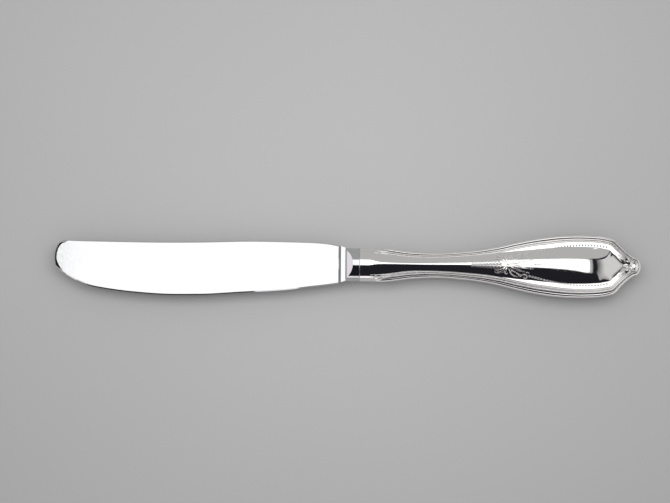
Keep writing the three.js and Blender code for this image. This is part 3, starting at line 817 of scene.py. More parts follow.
    def shell_rings(self):
        """For each section line, a closed ring of points over the outside and back inside."""
        outer_distance, outer_height = self.outer_section()
        inner_distance, inner_height = self.inner_section()
        outer_height[:, 0] = HALF_SEAM
        inner_height[:, 0] = HALF_SEAM
        outer_distance[:, -1] = self.length
        inner_distance[:, -1] = self.length
        near, far = (self.place(outer_distance, outer_height, side) for side in (1, -1))
        under, far_under = (self.place(inner_distance, inner_height, side) for side in (1, -1))
        foot = (MOUTH_X + self.target[self.hollow_end], MIDDLE_Y, MIDDLE_Z + HALF_SEAM)
        under[self.hollow_end + 1:] = foot
        far_under[self.hollow_end + 1:] = foot
        return np.concatenate([near, far[:, -2::-1], far_under, under[:, -2::-1]], axis=1)

    def groove_depths(self):
        """How deep in a groove each point of a ring lies, from 0 on the crests to 1 below."""
        side = np.zeros(SIDE_POINTS)
        turn = np.linspace(REED_TARNISH, 0, REED_HALF_POINTS) ** REED_TARNISH_FADE
        reeds = [np.concatenate([turn, turn[-2::-1], [1, 1]]) * dark for dark in GROOVE_TARNISH]
        rail = np.linspace(RAIL_TARNISH, 0, RAIL_POINTS) ** RAIL_TARNISH_FADE
        boss = np.linspace(BOSS_TARNISH, 0, BOSS_POINTS) ** BOSS_TARNISH_FADE
        half = np.concatenate([side, *reeds, rail, boss])
        half[SIDE_POINTS:SIDE_POINTS + REED_HALF_POINTS] = 0
        under = np.zeros(HOLLOW_POINTS)
        ring = np.concatenate([half, half[-2::-1], under, under[-2::-1]])
        return ring * self.border[:, None]


def shell_mesh(form, name, mirror):
    """One stamped half shell. The back shell is the front one turned over the middle plane."""
    rings = form.shell_rings()
    rings[..., 2] = MIDDLE_Z + mirror * (rings[..., 2] - MIDDLE_Z)
    stations, count, _ = rings.shape
    faces = strip_faces(stations, count, closed=True)
    faces.append(range(count))
    shell = new_mesh_object(name, rings.reshape(-1, 3), faces)
    mark_grooves(shell, form.groove_depths().ravel())
    return close_up(shell, SHELL_SHARP_DEGREES)


# Raised work on the shells: beads, rings, stems and leaves

BEAD_SIDES = 14
BEAD_RINGS = 6
BEAD_SINK_SHARE = 0.5

# Across a strip, and the height at each of these places, on a plain stem and on a leaf with a vein
STRIP_ACROSS = (-1, -0.8, -0.45, 0, 0.45, 0.8, 1)
STRIP_PLAIN = (-0.1, 0.6, 0.89, 1, 0.89, 0.6, -0.1)
STRIP_VEINED = (-0.1, 0.62, 1, 0.45, 1, 0.62, -0.1)
STRIP_SINK = 0.06 * MM
STRIP_STEPS = 6
STRIP_END_SCALE = 0.3
STRIP_FOOT_TARNISH = 0.9
VEIN_TARNISH = 0.6
STEM_TAPER_SHARE = 0.25
LEAF_SWELL_LEAD, LEAF_SWELL_POWER = 0.85, 0.8
RING_KNOTS, RING_STEPS = 9, 2


def swell_along(run, veined):
    """A strip's scale along its run. Leaves swell in the middle, and stems keep their width."""
    if veined:
        scale = np.sin(math.pi * run**LEAF_SWELL_LEAD) ** LEAF_SWELL_POWER
    else:
        scale = np.minimum(1, np.minimum(run, 1 - run) / STEM_TAPER_SHARE)
    return np.maximum(scale, STRIP_END_SCALE)


class Relief:
    """Small closed solids, half sunk in a shell. Places along and across it are in millimetres."""

    def __init__(self, shell, side):
        self.side = side
        self.tree = BVHTree.FromPolygons(
            [v.co.copy() for v in shell.data.vertices],
            [list(p.vertices) for p in shell.data.polygons],
        )
        self.vertices, self.faces, self.depths = [], [], []

    def seat(self, s, y):
        """The place on the shell that lies straight under a point, and the way that it faces."""
        clear = MIDDLE_Z + self.side * 2 * BULB_CROWN
        above = Vector((MOUTH_X + s * MM, MIDDLE_Y + y * MM, clear))
        place, normal, _, _ = self.tree.ray_cast(above, Vector((0, 0, -self.side)))
        if place is None:
            raise RuntimeError("raised work has no metal under it")
        return place, normal

    def add(self, vertices, faces, depths):
        first = len(self.vertices)
        self.vertices += vertices
        self.faces += [[first + i for i in face] for face in faces]
        self.depths += depths

    def bead(self, s, y, radius, rise):
        """A low dome, with its radius and rise in metres and its underside sunk in the surface."""
        centre, up = self.seat(s, y)
        across = up.orthogonal().normalized()
        beside = up.cross(across)
        vertices, depths = [centre + up * rise], [0]
        sunk = -BEAD_SINK_SHARE * rise
        for r in range(1, BEAD_RINGS + 1):
            angle = r / BEAD_RINGS * math.pi / 2
            for k in range(BEAD_SIDES):
                turn = 2 * math.pi * k / BEAD_SIDES
                out = (across * math.cos(turn) + beside * math.sin(turn)) * radius * math.sin(angle)
                vertices.append(centre + out + up * (sunk + (rise - sunk) * math.cos(angle)))
                depths.append(max(0, 2 * r / BEAD_RINGS - 1))
        faces = [(0, 1 + k, 1 + (k + 1) % BEAD_SIDES) for k in range(BEAD_SIDES)]
        rings = strip_faces(BEAD_RINGS, BEAD_SIDES, closed=True)
        faces += [[1 + i for i in face] for face in rings]
        faces.append([1 + (BEAD_RINGS - 1) * BEAD_SIDES + k for k in reversed(range(BEAD_SIDES))])
        self.add(vertices, faces, depths)

    def strip(self, knots, width, rise, veined=False, steps=STRIP_STEPS, closed=False):
        """A raised line along a path, with its width and rise in millimetres."""
        path = spline_points(knots, steps)
        if closed:
            path = path[:-1]
            tangents = np.roll(path, -1, axis=0) - np.roll(path, 1, axis=0)
            swell = np.ones(len(path))
        else:
            tangents = np.gradient(path, axis=0)
            swell = swell_along(np.linspace(0, 1, len(path)), veined)
        heights = STRIP_VEINED if veined else STRIP_PLAIN
        section = list(zip(STRIP_ACROSS, heights)) + [(1, None), (-1, None)]
        vertices, depths = [], []
        for (s, y), tangent, scale in zip(path, tangents, swell):
            square = np.array([-tangent[1], tangent[0]]) / np.linalg.norm(tangent)
            aside = square * width / 2 * scale
            for v, height in section:
                place, normal = self.seat(s + aside[0] * v, y + aside[1] * v)
                lift = -STRIP_SINK if height is None else rise * MM * scale * height
                vertices.append(place + normal * lift)
                foot = height is None or height < 0
                depths.append(STRIP_FOOT_TARNISH if foot else VEIN_TARNISH * (veined and v == 0))
        count, across = len(path), len(section)
        faces = strip_faces(count, across, closed=True)
        last = (count - 1) * across
        if closed:
            turns = [(k, (k + 1) % across) for k in range(across)]
            faces += [(last + k, last + following, following, k) for k, following in turns]
        else:
            faces += [list(range(across)), [last + k for k in reversed(range(across))]]
        self.add(vertices, faces, depths)

    def ring(self, s, y, radius, width, rise):
        """A raised circle, with its sizes in millimetres."""
        angles = np.linspace(0, 2 * math.pi, RING_KNOTS)
        knots = [(s + radius * math.cos(a), y + radius * math.sin(a)) for a in angles]
        self.strip(knots, width, rise, steps=RING_STEPS, closed=True)

    def build(self, name):
        obj = new_mesh_object(name, self.vertices, self.faces)
        mark_grooves(obj, self.depths)
        return close_up(obj)


# The rows of beads: where on the handle they run, how many millimetres they drift in from the rail,
# and the open rings that start them
BEAD_START_SHARE = 0.598
BEAD_END_SHARE = 0.893
BEAD_DRIFT_SHARES = [
    (BEAD_START_SHARE, 1.5), (0.65, 0.95), (0.7, 0.55), (0.76, 0.2), (0.82, 0.05),
    (BEAD_END_SHARE, 0),
]
RING_BEADS = 4
RING_RADIUS_SHARE, RING_WIDTH_SHARE = 0.38, 0.3


def bead_places(form, beads):
    """One row in even steps along the rail. It drifts in from the rail to meet the scroll work."""
    across = (form.threads + form.rail * beads.across) / MM
    share = form.s / HANDLE_LENGTH
    across = across + curve_through(BEAD_DRIFT_SHARES)(share)
    s = form.s / MM + form.inward[0] * across
    y = form.y / MM + form.inward[1] * across
    used = (share > BEAD_START_SHARE) & (share < BEAD_END_SHARE)
    s, y = s[used], y[used]
    run = np.concatenate([[0], np.cumsum(np.hypot(np.diff(s), np.diff(y)))])
    at = np.arange(0, run[-1], beads.pitch / MM)
    return np.interp(at, run, s), np.interp(at, run, y)


# The leaf work, from the husk chain on the waist to the dots on the bulb. Places are in millimetres
# along the handle from its mouth and across it. Work beside the axis is set on both sides of it.
HUSK_COUNT = 9
HUSKS_FROM, HUSKS_TO = 33.6, 41.6
HUSK_SMALLEST = 0.6
HUSK_RIB = (0.75, 0.1, -0.65)
HUSK_LEAF = ((0.7, 0.1), (0.2, 0.7), (-0.6, 1.25))
HUSK_RIB_WIDTH, HUSK_LEAF_WIDTH = 0.42, 0.7
HUSK_LEAF_RISE = 1.2
SIDE_LEAVES = [
    ([(43.7, 0.3), (42.7, 1.35), (41.4, 1.75), (40.3, 1.6)], 0.7),
    ([(43.9, 0.7), (43.5, 1.8), (42.6, 2.4)], 0.5),
    ([(44.8, 0.25), (46.6, 0.55), (48.4, 0.95), (50.3, 1.15)], 0.6),
    ([(44.9, 0.6), (46.2, 1.25), (47.8, 1.85), (49.2, 2.2)], 0.6),
    ([(43.2, 0.5), (42.4, 2.0), (41.0, 2.5), (40.2, 2.1)], 0.45),
]
AXIS_LEAVES = [([(44.4, 0), (47.0, 0.0), (49.4, 0.0), (51.8, 0.0)], 0.6)]
SIDE_STEMS = [
    ([(44.0, 0.5), (43.5, 1.4), (43.25, 2.25), (43.7, 2.75), (44.15, 2.5)], 0.32),
    ([(44.3, 0.9), (44.7, 1.9), (45.2, 2.75), (46.3, 3.4), (47.3, 3.6)], 0.36),
    ([(44.8, 1.1), (45.6, 1.85), (46.5, 2.35), (47.3, 3.0), (47.7, 3.5)], 0.32),
    ([(47.0, 2.15), (46.85, 2.6), (47.35, 2.8), (47.95, 3.1), (48.0, 3.5), (47.65, 3.65)], 0.28),
    ([
        (48.2, 3.55), (48.35, 3.1), (49.0, 2.95), (49.7, 3.2), (49.85, 3.8), (49.35, 4.1),
        (48.9, 3.85), (49.1, 3.5),
    ], 0.3),
]
AXIS_DOTS = [(52.3, 0.34), (53.0, 0.28), (53.6, 0.22), (54.1, 0.17), (54.5, 0.13)]
SIDE_DOTS = [
    (50.9, 1.25, 0.24), (51.5, 1.3, 0.18), (49.8, 2.35, 0.22), (50.35, 2.5, 0.17), (45.2, 1.9, 0.2),
]
KNOT = (44.15, 0.34)

# The palmette at the foot of the nub
PALMETTE_LEAVES = [
    ([(81.6, 0.25), (80.2, 0.95), (78.9, 1.35)], 1.3),
    ([(81.7, 0.5), (80.9, 1.55), (79.9, 2.2)], 1.1),
]
PALMETTE_AXIS_LEAF = ([(81.6, 0), (79.9, 0), (78.1, 0)], 1.5)


def add_husk(relief, s, scale, rise):
    """A rib with a leaf on either side. The root stays while the rest follows the scale."""
    root, middle, tip = HUSK_RIB
    rib = [(s + root, 0), (s + middle, 0), (s + tip * scale, 0)]
    relief.strip(rib, HUSK_RIB_WIDTH * scale, rise * scale)
    (root, root_y), (middle, middle_y), (tip, tip_y) = HUSK_LEAF
    for side in (1, -1):
        leaf = [
            (s + root, root_y * side), (s + middle, middle_y * scale * side),
            (s + tip * scale, tip_y * scale * side),
        ]
        relief.strip(leaf, HUSK_LEAF_WIDTH * scale, HUSK_LEAF_RISE * rise * scale, veined=True)


def add_leaf_work(relief, sizes):
    leaf_rise, stem_rise = sizes.leaf_rise / MM, sizes.stem_rise / MM
    for k, s in enumerate(np.linspace(HUSKS_FROM, HUSKS_TO, HUSK_COUNT)):
        scale = HUSK_SMALLEST + (1 - HUSK_SMALLEST) * k / (HUSK_COUNT - 1)
        add_husk(relief, s, scale, leaf_rise)
    for knots, width in AXIS_LEAVES + [PALMETTE_AXIS_LEAF]:
        relief.strip(knots, width, leaf_rise, veined=True)
    for side in (1, -1):
        for knots, width in SIDE_LEAVES + PALMETTE_LEAVES:
            relief.strip([(s, y * side) for s, y in knots], width, leaf_rise, veined=True)
        for knots, width in SIDE_STEMS:
            relief.strip([(s, y * side) for s, y in knots], width, stem_rise)
        for s, y, radius in SIDE_DOTS:
            relief.bead(s, y * side, radius * MM, sizes.stem_rise)
    for s, radius in AXIS_DOTS:
        relief.bead(s, 0, radius * MM, sizes.stem_rise)
    s, radius = KNOT
    relief.bead(s, 0, radius * MM, sizes.leaf_rise)


def add_beads(relief, form, beads, stem_rise):
    """The rows on both sides. Each starts with open rings, which lead on from the scrolls."""
    row = list(zip(*bead_places(form, beads)))
    width = beads.width / MM
    for side in (1, -1):
        for s, y in row[:RING_BEADS]:
            radius, strand = width * RING_RADIUS_SHARE, width * RING_WIDTH_SHARE
            relief.ring(s, y * side, radius, strand, stem_rise / MM)
    for side in (1, -1):
        for s, y in row[RING_BEADS:]:
            relief.bead(s, y * side, beads.width / 2, beads.rise)


# Materials. Noise scales are in cycles a metre along X, Y and Z.

# For each metal: its roughness where clear and where smeared, then the scale and the strength of
# its polishing marks
POLISH = {
    "blade_steel": ((0.035, 0.06), (9000, 500, 500), 0.25),
    "bolster_steel": ((0.04, 0.07), (400, 7000, 7000), 0.25),
    "handle_metal": ((0.045, 0.08), (500, 5000, 5000), 0.2),
}
SMEAR_SCALE = (90, 160, 160)
SMEAR_RANGE = (0.35, 0.7)
SMEAR_SHADE = 0.96
MARK_RANGE = (0.4, 0.75)
MARK_GLOSS = (0.85, 1.2)
MARK_DEPTH = 0.02 * MM
TARNISH_RANGE = (0.35, 1)
TARNISH_STRENGTH = 0.85
TARNISH_DULLING = 0.25

SOLDER_PIT_SCALE = (3000, 3000, 3000)
SOLDER_PIT_RANGE = (0.3, 0.6)
SOLDER_PIT_SHADE = 0.6
SOLDER_MARK_SCALE = (800, 9000, 9000)
SOLDER_MARK_DEPTH = 0.03 * MM
SOLDER_MARK_STRENGTH = 0.2
SOLDER_ROUGHNESS = (0.28, 0.45)

CEMENT_GRAIN_SCALE = (2500, 2500, 2500)
CEMENT_GRAIN_DEPTH = 0.1 * MM
CEMENT_GRAIN_STRENGTH = 0.6
CEMENT_CLOUD_SCALE = (250, 250, 250)
CEMENT_CLOUD_RANGE = (0.3, 0.7)
CEMENT_CLOUD_SHADE = 0.72
CEMENT_HOLE_SCALE = 1400
CEMENT_HOLE_RANGE = (0, 0.35)
CEMENT_ROUGHNESS = (0.8, 0.97)

# Painted light: the paper is palest beside the knife's spine and falls off between two distances
# from there
PAPER_PAINTED_LIGHT_CENTRE = (0, 20 * MM, 0)
PAPER_PAINTED_LIGHT_RANGE = (20 * MM, 140 * MM)
PAPER_PAINTED_LIGHT_FAR_SHARE = 0.86
PAPER_TOOTH_SCALE = (1800, 1800, 1800)
PAPER_TOOTH_SHARE = 0.25
PAPER_TOOTH_DEPTH = 0.02 * MM
PAPER_TOOTH_STRENGTH = 0.15
PAPER_CLOUD_SCALE = (6, 6, 6)
PAPER_MOTTLE_RANGE = (0.4, 0.8)
PAPER_MOTTLE = 0.015
PAPER_ROUGHNESS = 0.95
PAPER_SPECULAR = 0.1


def new_material(name):
    material = bpy.data.materials.new(name)
    material.use_nodes = True
    tree = material.node_tree
    surface = next(node for node in tree.nodes if node.type == "BSDF_PRINCIPLED")
    return material, tree, surface


def add_node(tree, kind, inputs=None, **settings):
    """A new node with its settings, and its inputs by name: a value, or an output to link."""
    node = tree.nodes.new(kind)
    for key, value in settings.items():
        setattr(node, key, value)
    for key, value in (inputs or {}).items():
        if isinstance(value, bpy.types.NodeSocket):
            tree.links.new(value, node.inputs[key])
        else:
            node.inputs[key].default_value = value
    return node


def connect(tree, surface, outputs):
    for name, output in outputs.items():
        tree.links.new(output, surface.inputs[name])


def ranged(tree, value, low, high, over=(0, 1)):
    """A value taken from one range to the range from low to high."""
    node = add_node(tree, "ShaderNodeMapRange", {
        "Value": value, "From Min": over[0], "From Max": over[1], "To Min": low, "To Max": high,
    })
    return node.outputs["Result"]


def worked_out(tree, operation, *values):
    """A number worked out from numbers or outputs."""
    node = add_node(tree, "ShaderNodeMath", dict(enumerate(values)), operation=operation)
    return node.outputs["Value"]


def shaded(tint, share=1):
    """A tint made darker or lighter."""
    return (*[c * share for c in tint], 1)


def mixed(tree, first, second, factor):
    """A colour between two others."""
    inputs = {"A": first, "B": second, "Factor": factor}
    return add_node(tree, "ShaderNodeMix", inputs, data_type="RGBA").outputs["Result"]


def bumped(tree, height, strength, depth):
    """The normal of relief that is too fine to model."""
    inputs = {"Height": height, "Strength": strength, "Distance": depth}
    return add_node(tree, "ShaderNodeBump", inputs).outputs["Normal"]


def own_place(tree):
    """Places in the object's own frame."""
    return add_node(tree, "ShaderNodeTexCoord").outputs["Object"]


def stretched_noise(tree, scale, detail=3, roughness=0.55):
    """Noise in the object's own frame, drawn out as polishing marks are."""
    mapping = add_node(tree, "ShaderNodeMapping", {"Vector": own_place(tree), "Scale": scale})
    noise = add_node(tree, "ShaderNodeTexNoise", {
        "Vector": mapping.outputs["Vector"], "Scale": 1, "Detail": detail, "Roughness": roughness,
    })
    return noise.outputs["Fac"]


def polished_metal(name, tint, groove=None):
    """Mirror-polished metal with fine marks, faint smears and, where asked, tarnished grooves."""
    (clear, smeared), marks_scale, marks_strength = POLISH[name]
    material, tree, surface = new_material(name)
    surface.inputs["Metallic"].default_value = 1
    smears = stretched_noise(tree, SMEAR_SCALE, detail=4)
    marks = stretched_noise(tree, marks_scale, detail=5, roughness=0.7)
    smear_gloss = ranged(tree, smears, clear, smeared, over=SMEAR_RANGE)
    mark_gloss = ranged(tree, marks, *MARK_GLOSS, over=MARK_RANGE)
    gloss = worked_out(tree, "MULTIPLY", smear_gloss, mark_gloss)
    tone = mixed(tree, shaded(tint, SMEAR_SHADE), shaded(tint), smears)
    if groove is not None:
        depth = add_node(tree, "ShaderNodeAttribute", attribute_name="groove").outputs["Fac"]
        tarnish = ranged(tree, depth, 0, TARNISH_STRENGTH, over=TARNISH_RANGE)
        tone = mixed(tree, tone, shaded(groove), tarnish)
        gloss = worked_out(tree, "MULTIPLY_ADD", tarnish, TARNISH_DULLING, gloss)
    normal = bumped(tree, marks, marks_strength, MARK_DEPTH)
    connect(tree, surface, {"Base Color": tone, "Roughness": gloss, "Normal": normal})
    return material


def solder_material(tint):
    """Dressed solder: duller than the plate beside it, with pits and file marks."""
    material, tree, surface = new_material("dressed_solder")
    surface.inputs["Metallic"].default_value = 1
    pits = stretched_noise(tree, SOLDER_PIT_SCALE, detail=5)
    marks = stretched_noise(tree, SOLDER_MARK_SCALE)
    pitted = ranged(tree, pits, 0, 1, over=SOLDER_PIT_RANGE)
    connect(tree, surface, {
        "Base Color": mixed(tree, shaded(tint, SOLDER_PIT_SHADE), shaded(tint), pitted),
        "Roughness": ranged(tree, pits, *SOLDER_ROUGHNESS),
        "Normal": bumped(tree, marks, SOLDER_MARK_STRENGTH, SOLDER_MARK_DEPTH),
    })
    return material


def cement_material(tint):
    """Matt set cement, with grains and small air holes."""
    material, tree, surface = new_material("set_cement")
    grains = stretched_noise(tree, CEMENT_GRAIN_SCALE, detail=8, roughness=0.7)
    clouds = stretched_noise(tree, CEMENT_CLOUD_SCALE)
    clouded = ranged(tree, clouds, 0, 1, over=CEMENT_CLOUD_RANGE)
    holes = add_node(tree, "ShaderNodeTexVoronoi", {
        "Vector": own_place(tree), "Scale": CEMENT_HOLE_SCALE,
    }).outputs["Distance"]
    holed = ranged(tree, holes, 0, 1, over=CEMENT_HOLE_RANGE)
    height = worked_out(tree, "MULTIPLY", grains, holed)
    connect(tree, surface, {
        "Base Color": mixed(tree, shaded(tint, CEMENT_CLOUD_SHADE), shaded(tint), clouded),
        "Roughness": ranged(tree, grains, *CEMENT_ROUGHNESS),
        "Normal": bumped(tree, height, CEMENT_GRAIN_STRENGTH, CEMENT_GRAIN_DEPTH),
    })
    return material


def paper_material(tint):
    """Seamless grey paper with a faint tooth and a painted pool of light beside the knife's spine.
    """
    material, tree, surface = new_material("grey_paper")
    tooth = stretched_noise(tree, PAPER_TOOTH_SCALE, detail=6)
    clouds = stretched_noise(tree, PAPER_CLOUD_SCALE, detail=2)
    mottle = worked_out(tree, "MULTIPLY_ADD", tooth, PAPER_TOOTH_SHARE, clouds)
    mottled = ranged(tree, mottle, 0, 1, over=PAPER_MOTTLE_RANGE)
    tone = mixed(tree, shaded(tint, 1 - PAPER_MOTTLE), shaded(tint, 1 + PAPER_MOTTLE), mottled)
    # Painted light: the paper's colour is scaled down with distance from beside the knife's spine
    away = add_node(tree, "ShaderNodeVectorMath", {
        0: own_place(tree), 1: PAPER_PAINTED_LIGHT_CENTRE,
    }, operation="DISTANCE")
    light = ranged(tree, away.outputs["Value"], 1, PAPER_PAINTED_LIGHT_FAR_SHARE, over=PAPER_PAINTED_LIGHT_RANGE)
    tone = add_node(tree, "ShaderNodeVectorMath", {0: tone, "Scale": light}, operation="SCALE")
    connect(tree, surface, {
        "Base Color": tone.outputs["Vector"],
        "Normal": bumped(tree, tooth, PAPER_TOOTH_STRENGTH, PAPER_TOOTH_DEPTH),
    })
    surface.inputs["Roughness"].default_value = PAPER_ROUGHNESS
    surface.inputs["Specular IOR Level"].default_value = PAPER_SPECULAR
    return material


def glow_material(name, tint, strength=1.0):
    """A surface that only glows, for the painted reflections of the stage."""
    material, tree, surface = new_material(name)
    output = next(node for node in tree.nodes if node.type == "OUTPUT_MATERIAL")
    glow = add_node(tree, "ShaderNodeEmission", {"Color": shaded(tint), "Strength": strength})
    tree.nodes.remove(surface)
    tree.links.new(glow.outputs["Emission"], output.inputs["Surface"])
    return material


# Stage

WHITE = (1, 1, 1)
FLOOR_RADIUS = 3.0
FLOOR_SIDES = 64

# Painted reflections: glowing cards that only the metal sees and that light nothing
# The corners of each card: degrees from straight up, along and across the knife
CARD_HEIGHT = 600 * MM
CARD_STEP = 10 * MM
# Painted reflection of a softbox and of its grey frame
PAINTED_SOFTBOX_STRENGTH = 1.62
PAINTED_FRAME_TONE = (0.46, 0.46, 0.46)
SOFTBOX_CORNERS = [
    (-18, -8), (-10, -7), (-4, -2.5), (4, -2.5), (7, -4), (9, -7), (11, -12), (13, -15.5),
    (18, -24), (18, 25.3), (8, 26.6), (2, 27), (-2, 27.5), (-11, 24), (-18, 24),
]
SOFTBOX_FRAME_CORNERS = [(17.5, -25), (23.4, -25), (23.4, 25.5), (17.5, 25.5)]
PANEL_EDGE = [
    (54, 50), (50.5, 41), (46.7, 35), (42.2, 31.5), (35.1, 27), (30.5, 24.5), (29.3, 23), (29.2, 8),
    (31.1, -23), (35.1, -39), (36, -44), (50, -73),
]
DARK_CORNERS = [
    (-37, 25), (-11, 25), (17.5, 26.5), (24, 28.5), (30.5, 29.5), (35.1, 32.5), (42.2, 37.5),
    (46.7, 40.5), (49.3, 45.5), (52, 52), *PANEL_EDGE, (-50, -73), (-37, -22),
]
PANEL_CORNERS = [*PANEL_EDGE, (75, -73), (75, 60)]

# The painted shade on the panel's reflection at its near edge, and the degrees along the knife over
# which it clears
PANEL_PAINTED_SHADE_FROM = 29.3
PANEL_PAINTED_SHADE_TO = 42.9
PANEL_NEAR_PAINTED_SHADE = 0.12

# A painted reflection of low light paper stands round the knife, between these turns from the end
# of the handle, in degrees
HORIZON_RADIUS = 1.6
HORIZON_HEIGHT = 0.49
HORIZON_FROM = 150
HORIZON_TO = 435
HORIZON_SIDES = 48
PAINTED_HORIZON_STRENGTH = 1.2

KEY_LIGHT_LENGTH = 0.4
KEY_LIGHT_WIDTH = 0.18
KEY_LIGHT_WATTS = 0.42
KEY_LIGHT_PLACE = (0, 0.07, 0.28)
FILL_STRENGTH = 0.63

CAMERA_LENS = 100
CAMERA_SENSOR = 36
FRAME_WIDTH_PIXELS = 670
FRAME_HEIGHT_PIXELS = 503
KNIFE_CENTRE_PIXELS = (347.25, 264.8)


def show_in_reflections_only(name, vertices, faces, material):
    """A painted reflection: a glowing piece of the stage that only the knife's polished surfaces
    see.
    """
    obj = new_mesh_object(name, vertices, faces)
    obj.data.materials.append(material)
    obj.visible_camera = False
    obj.visible_diffuse = False
    obj.visible_shadow = False
    obj.visible_transmission = False


def round_places(radius, angles):
    return [(radius * math.cos(a), radius * math.sin(a)) for a in angles]


def build_floor(settings):
    turns = [2 * math.pi * k / FLOOR_SIDES for k in range(FLOOR_SIDES)]
    ring = [(x, y, 0) for x, y in round_places(FLOOR_RADIUS, turns)]
    floor = new_mesh_object("paper_floor", ring, [range(FLOOR_SIDES)])
    floor.data.materials.append(paper_material(settings.floor))


def painted_panel_material(tint):
    """A painted reflection of lit paper, with painted shade that darkens it towards its near edge.
    """
    material = glow_material("painted_panel_glow", tint)
    tree = material.node_tree
    glow = next(node for node in tree.nodes if node.type == "EMISSION")
    parts = add_node(tree, "ShaderNodeSeparateXYZ", {"Vector": own_place(tree)})
    over = [CARD_HEIGHT * math.tan(math.radians(a)) for a in (PANEL_PAINTED_SHADE_FROM, PANEL_PAINTED_SHADE_TO)]
    connect(tree, glow, {"Strength": ranged(tree, parts.outputs["X"], PANEL_NEAR_PAINTED_SHADE, 1, over)})
    return material


def build_cards(settings):
    """Painted reflections: glowing flat cards over the knife, each a step above the last, and the
    low paper round it.
    """
    softbox = glow_material("painted_softbox_glow", WHITE, PAINTED_SOFTBOX_STRENGTH)
    cards = (
        # Painted reflection of a softbox and its frame, glowing on cards; the key light is the lamp
        ("painted_softbox_reflection", SOFTBOX_CORNERS, softbox),
        ("painted_frame_reflection", SOFTBOX_FRAME_CORNERS, glow_material("painted_frame_glow", PAINTED_FRAME_TONE)),
        # Painted reflection of darkness: a dark sheet over the knife where there is only unlit
        # space
        ("painted_dark_reflection", DARK_CORNERS, glow_material("painted_darkness_glow", settings.dark)),
        # Painted reflection of lit paper, with painted shade towards its near edge
        ("painted_panel_reflection", PANEL_CORNERS, painted_panel_material(settings.panel)),
    )
    for k, (name, corners, material) in enumerate(cards):
        height = CARD_HEIGHT + k * CARD_STEP
        slopes = np.tan(np.radians(corners))
        vertices = [(height * a, height * b, height) for a, b in slopes]
        show_in_reflections_only(name, vertices, [range(len(vertices))], material)

    # Painted reflection of light paper low round the knife: a glowing band that lights nothing
    turns = np.radians(np.linspace(HORIZON_FROM, HORIZON_TO, HORIZON_SIDES))
    foot = round_places(HORIZON_RADIUS, turns)
    vertices = [(x, y, z) for z in (0, HORIZON_HEIGHT) for x, y in foot]
    painted_horizon_glow = glow_material("painted_horizon_glow", settings.horizon, PAINTED_HORIZON_STRENGTH)
    show_in_reflections_only("painted_horizon_reflection", vertices, strip_faces(2, HORIZON_SIDES), painted_horizon_glow)


def build_key_light():
    light = bpy.data.lights.new("key_light", "AREA")
    light.shape = "RECTANGLE"
    light.size = KEY_LIGHT_LENGTH
    light.size_y = KEY_LIGHT_WIDTH
    light.energy = KEY_LIGHT_WATTS
    key = bpy.data.objects.new("key_light", light)
    bpy.context.scene.collection.objects.link(key)
    key.location = KEY_LIGHT_PLACE
    key.visible_glossy = False
    key.visible_camera = False


def build_world(settings):
    """A soft fill for the surfaces, and grey paper for what the camera and the metal see."""
    world = bpy.data.worlds.new("studio")
    bpy.context.scene.world = world
    world.use_nodes = True
    tree = world.node_tree
    tree.nodes.clear()
    rays = add_node(tree, "ShaderNodeLightPath").outputs
    seen = worked_out(tree, "MAXIMUM", rays["Is Camera Ray"], rays["Is Glossy Ray"])
    seen = worked_out(tree, "MAXIMUM", seen, rays["Is Transmission Ray"])
    fill, paper = (
        add_node(tree, "ShaderNodeBackground", {"Color": shaded(tint), "Strength": strength})
        for tint, strength in ((WHITE, FILL_STRENGTH), (settings.backdrop, 1))
    )
    mix = add_node(tree, "ShaderNodeMixShader", {
        0: seen, 1: fill.outputs["Background"], 2: paper.outputs["Background"],
    })
    add_node(tree, "ShaderNodeOutputWorld", {"Surface": mix.outputs["Shader"]})


def build_camera(settings):
    """High over the cutting edge's side, with the knife's middle off that of the picture."""
    data = bpy.data.cameras.new("camera")
    camera = bpy.data.objects.new("camera", data)
    bpy.context.scene.collection.objects.link(camera)
    data.lens = CAMERA_LENS
    data.sensor_width = CAMERA_SENSOR
    distance = settings.picture_width * CAMERA_LENS / CAMERA_SENSOR
    pixel = settings.picture_width / FRAME_WIDTH_PIXELS
    e, r = settings.elevation, settings.roll
    right = Vector((math.cos(r), math.sin(r) * math.sin(e), math.sin(r) * math.cos(e)))
    up = Vector((-math.sin(r), math.cos(r) * math.sin(e), math.cos(r) * math.cos(e)))
    back = right.cross(up)
    shift_right = (FRAME_WIDTH_PIXELS / 2 - KNIFE_CENTRE_PIXELS[0]) * pixel
    shift_up = (KNIFE_CENTRE_PIXELS[1] - FRAME_HEIGHT_PIXELS / 2) * pixel
    centre = Vector((0, MIDDLE_Y, MIDDLE_Z))
    target = centre + right * shift_right + up * shift_up
    turn = Matrix((right, up, back)).transposed().to_4x4()
    camera.matrix_world = Matrix.Translation(target + back * distance) @ turn
    bpy.context.scene.camera = camera


# Operators

def raise_on_shells(kind, add):
    """Raised work of one kind on both shells, in the shells' own metal."""
    for name, side in (("front", 1), ("back", -1)):
        relief = Relief(bpy.data.objects[name + "_shell"], side)
        add(relief)
        metal = bpy.data.materials["handle_metal"]
        dress(relief.build(name + "_" + kind), metal, "handle_metal")


class KNIFE_OT_blade(bpy.types.Operator):
    """Build the polished blade with its tang"""

    bl_idname = "fruit_knife.blade"
    bl_label = "Blade"

    def execute(self, context):
        steel = polished_metal("blade_steel", context.scene.knife_finishes.blade)
        dress(build_blade_mesh(context.scene.knife_blade), steel, "blade_steel", "blade")
        return {"FINISHED"}


class KNIFE_OT_bolster(bpy.types.Operator):
    """Build the bolster with its collar, facets and oval neck"""

    bl_idname = "fruit_knife.bolster"
    bl_label = "Bolster"

    def execute(self, context):
        steel = polished_metal("bolster_steel", context.scene.knife_finishes.bolster)
        dress(build_bolster_mesh(context.scene.knife_bolster), steel, "bolster_steel", "bolster")
        return {"FINISHED"}


